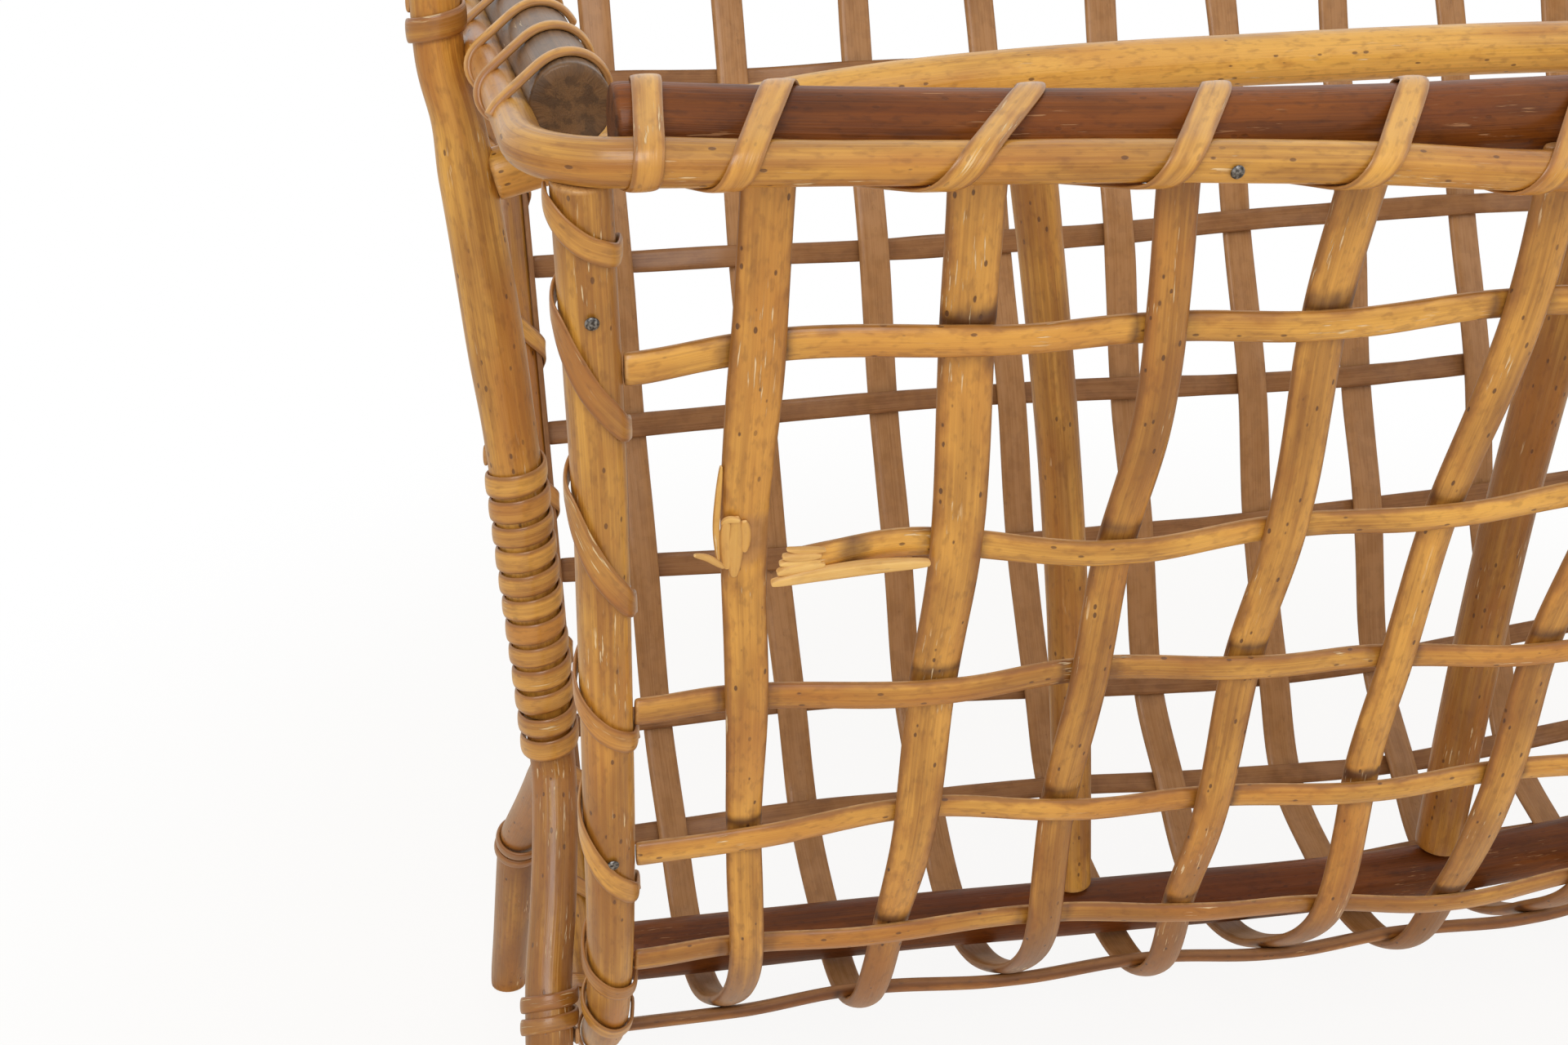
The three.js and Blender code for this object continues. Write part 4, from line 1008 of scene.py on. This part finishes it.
for label, side, seed in (("left", -1, 780), ("right", 1, 790)):
    makePostWinding(f"{label}_post_binding_strip", side, bindings["startZ"], bindings["loops"], seed)
    makePostWinding(f"{label}_post_top_wrap_strip", side, bindings["topStartZ"], 1, seed + 5)

kneeWraps = {
    "halfWidth": 2.25 * mm, "halfHeight": 0.6 * mm, "pitch": 6.2 * mm, "turns": 2, "steps": 24,
    "standoff": 0.85 * mm, "out": 0.7 * mm, "stout": 1.04, "tone": -1.3,
}


def makeKneeWrap(name, side, back, seed):
    upper, lower = legPoints(side, back)[legs["knee"]]
    axis = unit(lower - upper)
    centre = (upper + lower) / 2 + back * np.array([0, kneeWraps["out"], 0])
    across = unit(alongX - axis * axis[0])
    behind = np.cross(axis, across)
    rounds = [(0, 0, legs["radius"][back] * kneeWraps["stout"])]
    spots = []
    for k in range(kneeWraps["turns"] * kneeWraps["steps"] + 1):
        turns = k / kneeWraps["steps"]
        u, v, outU, outV = beltAt(rounds, kneeWraps["standoff"], 0, 1, turns)
        along = (turns - kneeWraps["turns"] / 2) * kneeWraps["pitch"]
        spots.append((centre + axis * along + across * u + behind * v, across * outU + behind * outV))
    makeWinding(f"{name}_strip", spots, kneeWraps, seed, tone=kneeWraps["tone"])


for label, side, seed in (("left", -1, 800), ("right", 1, 820)):
    makeKneeWrap(f"front_{label}_knee_wrap", side, -1, seed)
    makeKneeWrap(f"back_{label}_knee_wrap", side, 1, seed + 5)
print("windings made")

# Nails: a low domed head on each node's place

nails = {
    "radius": 1.6 * mm, "flatness": 0.4, "cut": -0.2 * mm, "segments": 20, "rings": 12, "rimShift": -2 * mm,
    "smoothAngle": 50,
}
for node in ("upper_frame_nail", "lower_frame_nail", "rim_cane_nail"):
    low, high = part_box(node)
    centre = np.array((low + high) / 2)
    bpy.ops.mesh.primitive_uv_sphere_add(segments=nails["segments"], ring_count=nails["rings"],
                                         radius=nails["radius"])
    piece = bpy.context.active_object
    piece.name = f"{node}_head"
    editAll()
    bpy.ops.transform.resize(value=(1, 1, nails["flatness"]), center_override=(0, 0, 0))
    bpy.ops.mesh.bisect(plane_co=(0, 0, nails["cut"]), plane_no=(0, 0, -1), use_fill=True, clear_outer=True)
    bpy.ops.object.mode_set(mode="OBJECT")
    if node == "rim_cane_nail":
        centre = centre + np.array([nails["rimShift"], 0, float(caneLift(centre[0]))])
    else:
        sway = float(frameSway((cradle["rimHeight"] - centre[2]) / math.cos(frontLean)))
        centre = centre - np.array([sway, 0, 0])
    piece.rotation_euler = (math.pi / 2 + frontLean, 0, 0)
    piece.location = centre
    bpy.ops.object.transform_apply(location=True, rotation=True, scale=True)
    bpy.ops.object.shade_smooth_by_angle(angle=math.radians(nails["smoothAngle"]))
    dress(piece, "steel_nail", node)
print("nails made")

# Floor, light and camera

studio = {
    "floor": (252, 240, 222), "floorSize": 12, "glow": (0.88, 1.0), "glowReach": (0.26, 0.62),
    "worldLight": 0.62, "white": (1, 1, 1, 1), "aim": (0, 0, 0.2),
    "lamps": {"key_light": ((-0.5, -1.3, 1.5), 1.0, 14.0), "fill_light": ((1.4, -0.8, 1.1), 1.2, 2.5)},
    "camera": (-0.2617, -0.5237, 0.4466), "look": (0.19659, 0.88312, -0.42597), "lens": 44.4, "sensor": 36,
    "clip": 0.01,
}


def makeFloor():
    bpy.ops.mesh.primitive_plane_add(size=studio["floorSize"], location=(0, 0, 0))
    floor = bpy.context.active_object
    floor.name = "studio_floor"
    paint = Paint(bpy.data.materials.new("pale_floor"))
    place = paint.node("TexCoord", {}, "Object")
    away = paint.node("VectorMath", {0: place}, "Value", operation="LENGTH")
    matt = paint.node("BsdfDiffuse", {"Color": colour(*studio["floor"])})
    glow = paint.node("Emission", {"Color": studio["white"], "Strength": 1.0})
    camera = paint.node("LightPath", {}, "Is Camera Ray")
    near, far = studio["glow"]
    share = away.between(*studio["glowReach"]) * (far - near) + near
    both = paint.node("MixShader", {0: camera * share, 1: matt, 2: glow})
    floor.data.materials.append(paint.finish(both))


def makeWorld():
    bpy.context.scene.world = bpy.data.worlds.new("studio_world")
    paint = Paint(bpy.context.scene.world)
    camera, glossy, passed = (paint.node("LightPath", {}, f"Is {ray} Ray")
                              for ray in ("Camera", "Glossy", "Transmission"))
    soft, bright = (paint.node("Background", {"Color": studio["white"], "Strength": strength})
                    for strength in (studio["worldLight"], 1.0))
    seen = camera.orElse(glossy).orElse(passed)
    paint.finish(paint.node("MixShader", {0: seen, 1: soft, 2: bright}), "World")


def setUp(name, data, location, way):  # a lamp or camera that looks along a way
    thing = bpy.data.objects.new(name, data)
    bpy.context.scene.collection.objects.link(thing)
    thing.location = location
    thing.rotation_euler = (math.atan2(math.hypot(way[0], way[1]), -way[2]), 0, math.atan2(-way[0], way[1]))
    return thing


makeFloor()
makeWorld()
for name, (location, size, power) in studio["lamps"].items():
    light = bpy.data.lights.new(name, "AREA")
    light.shape = "SQUARE"
    light.size = size
    light.energy = power
    setUp(name, light, location, np.array(studio["aim"]) - np.array(location))

camera = bpy.data.cameras.new("photo_camera")
camera.sensor_width = studio["sensor"]
camera.lens = studio["lens"]
camera.clip_start = studio["clip"]
bpy.context.scene.camera = setUp("photo_camera", camera, studio["camera"], studio["look"])
bpy.context.scene.view_settings.view_transform = "Standard"
print("studio made")

print("pieces made:", len(made))
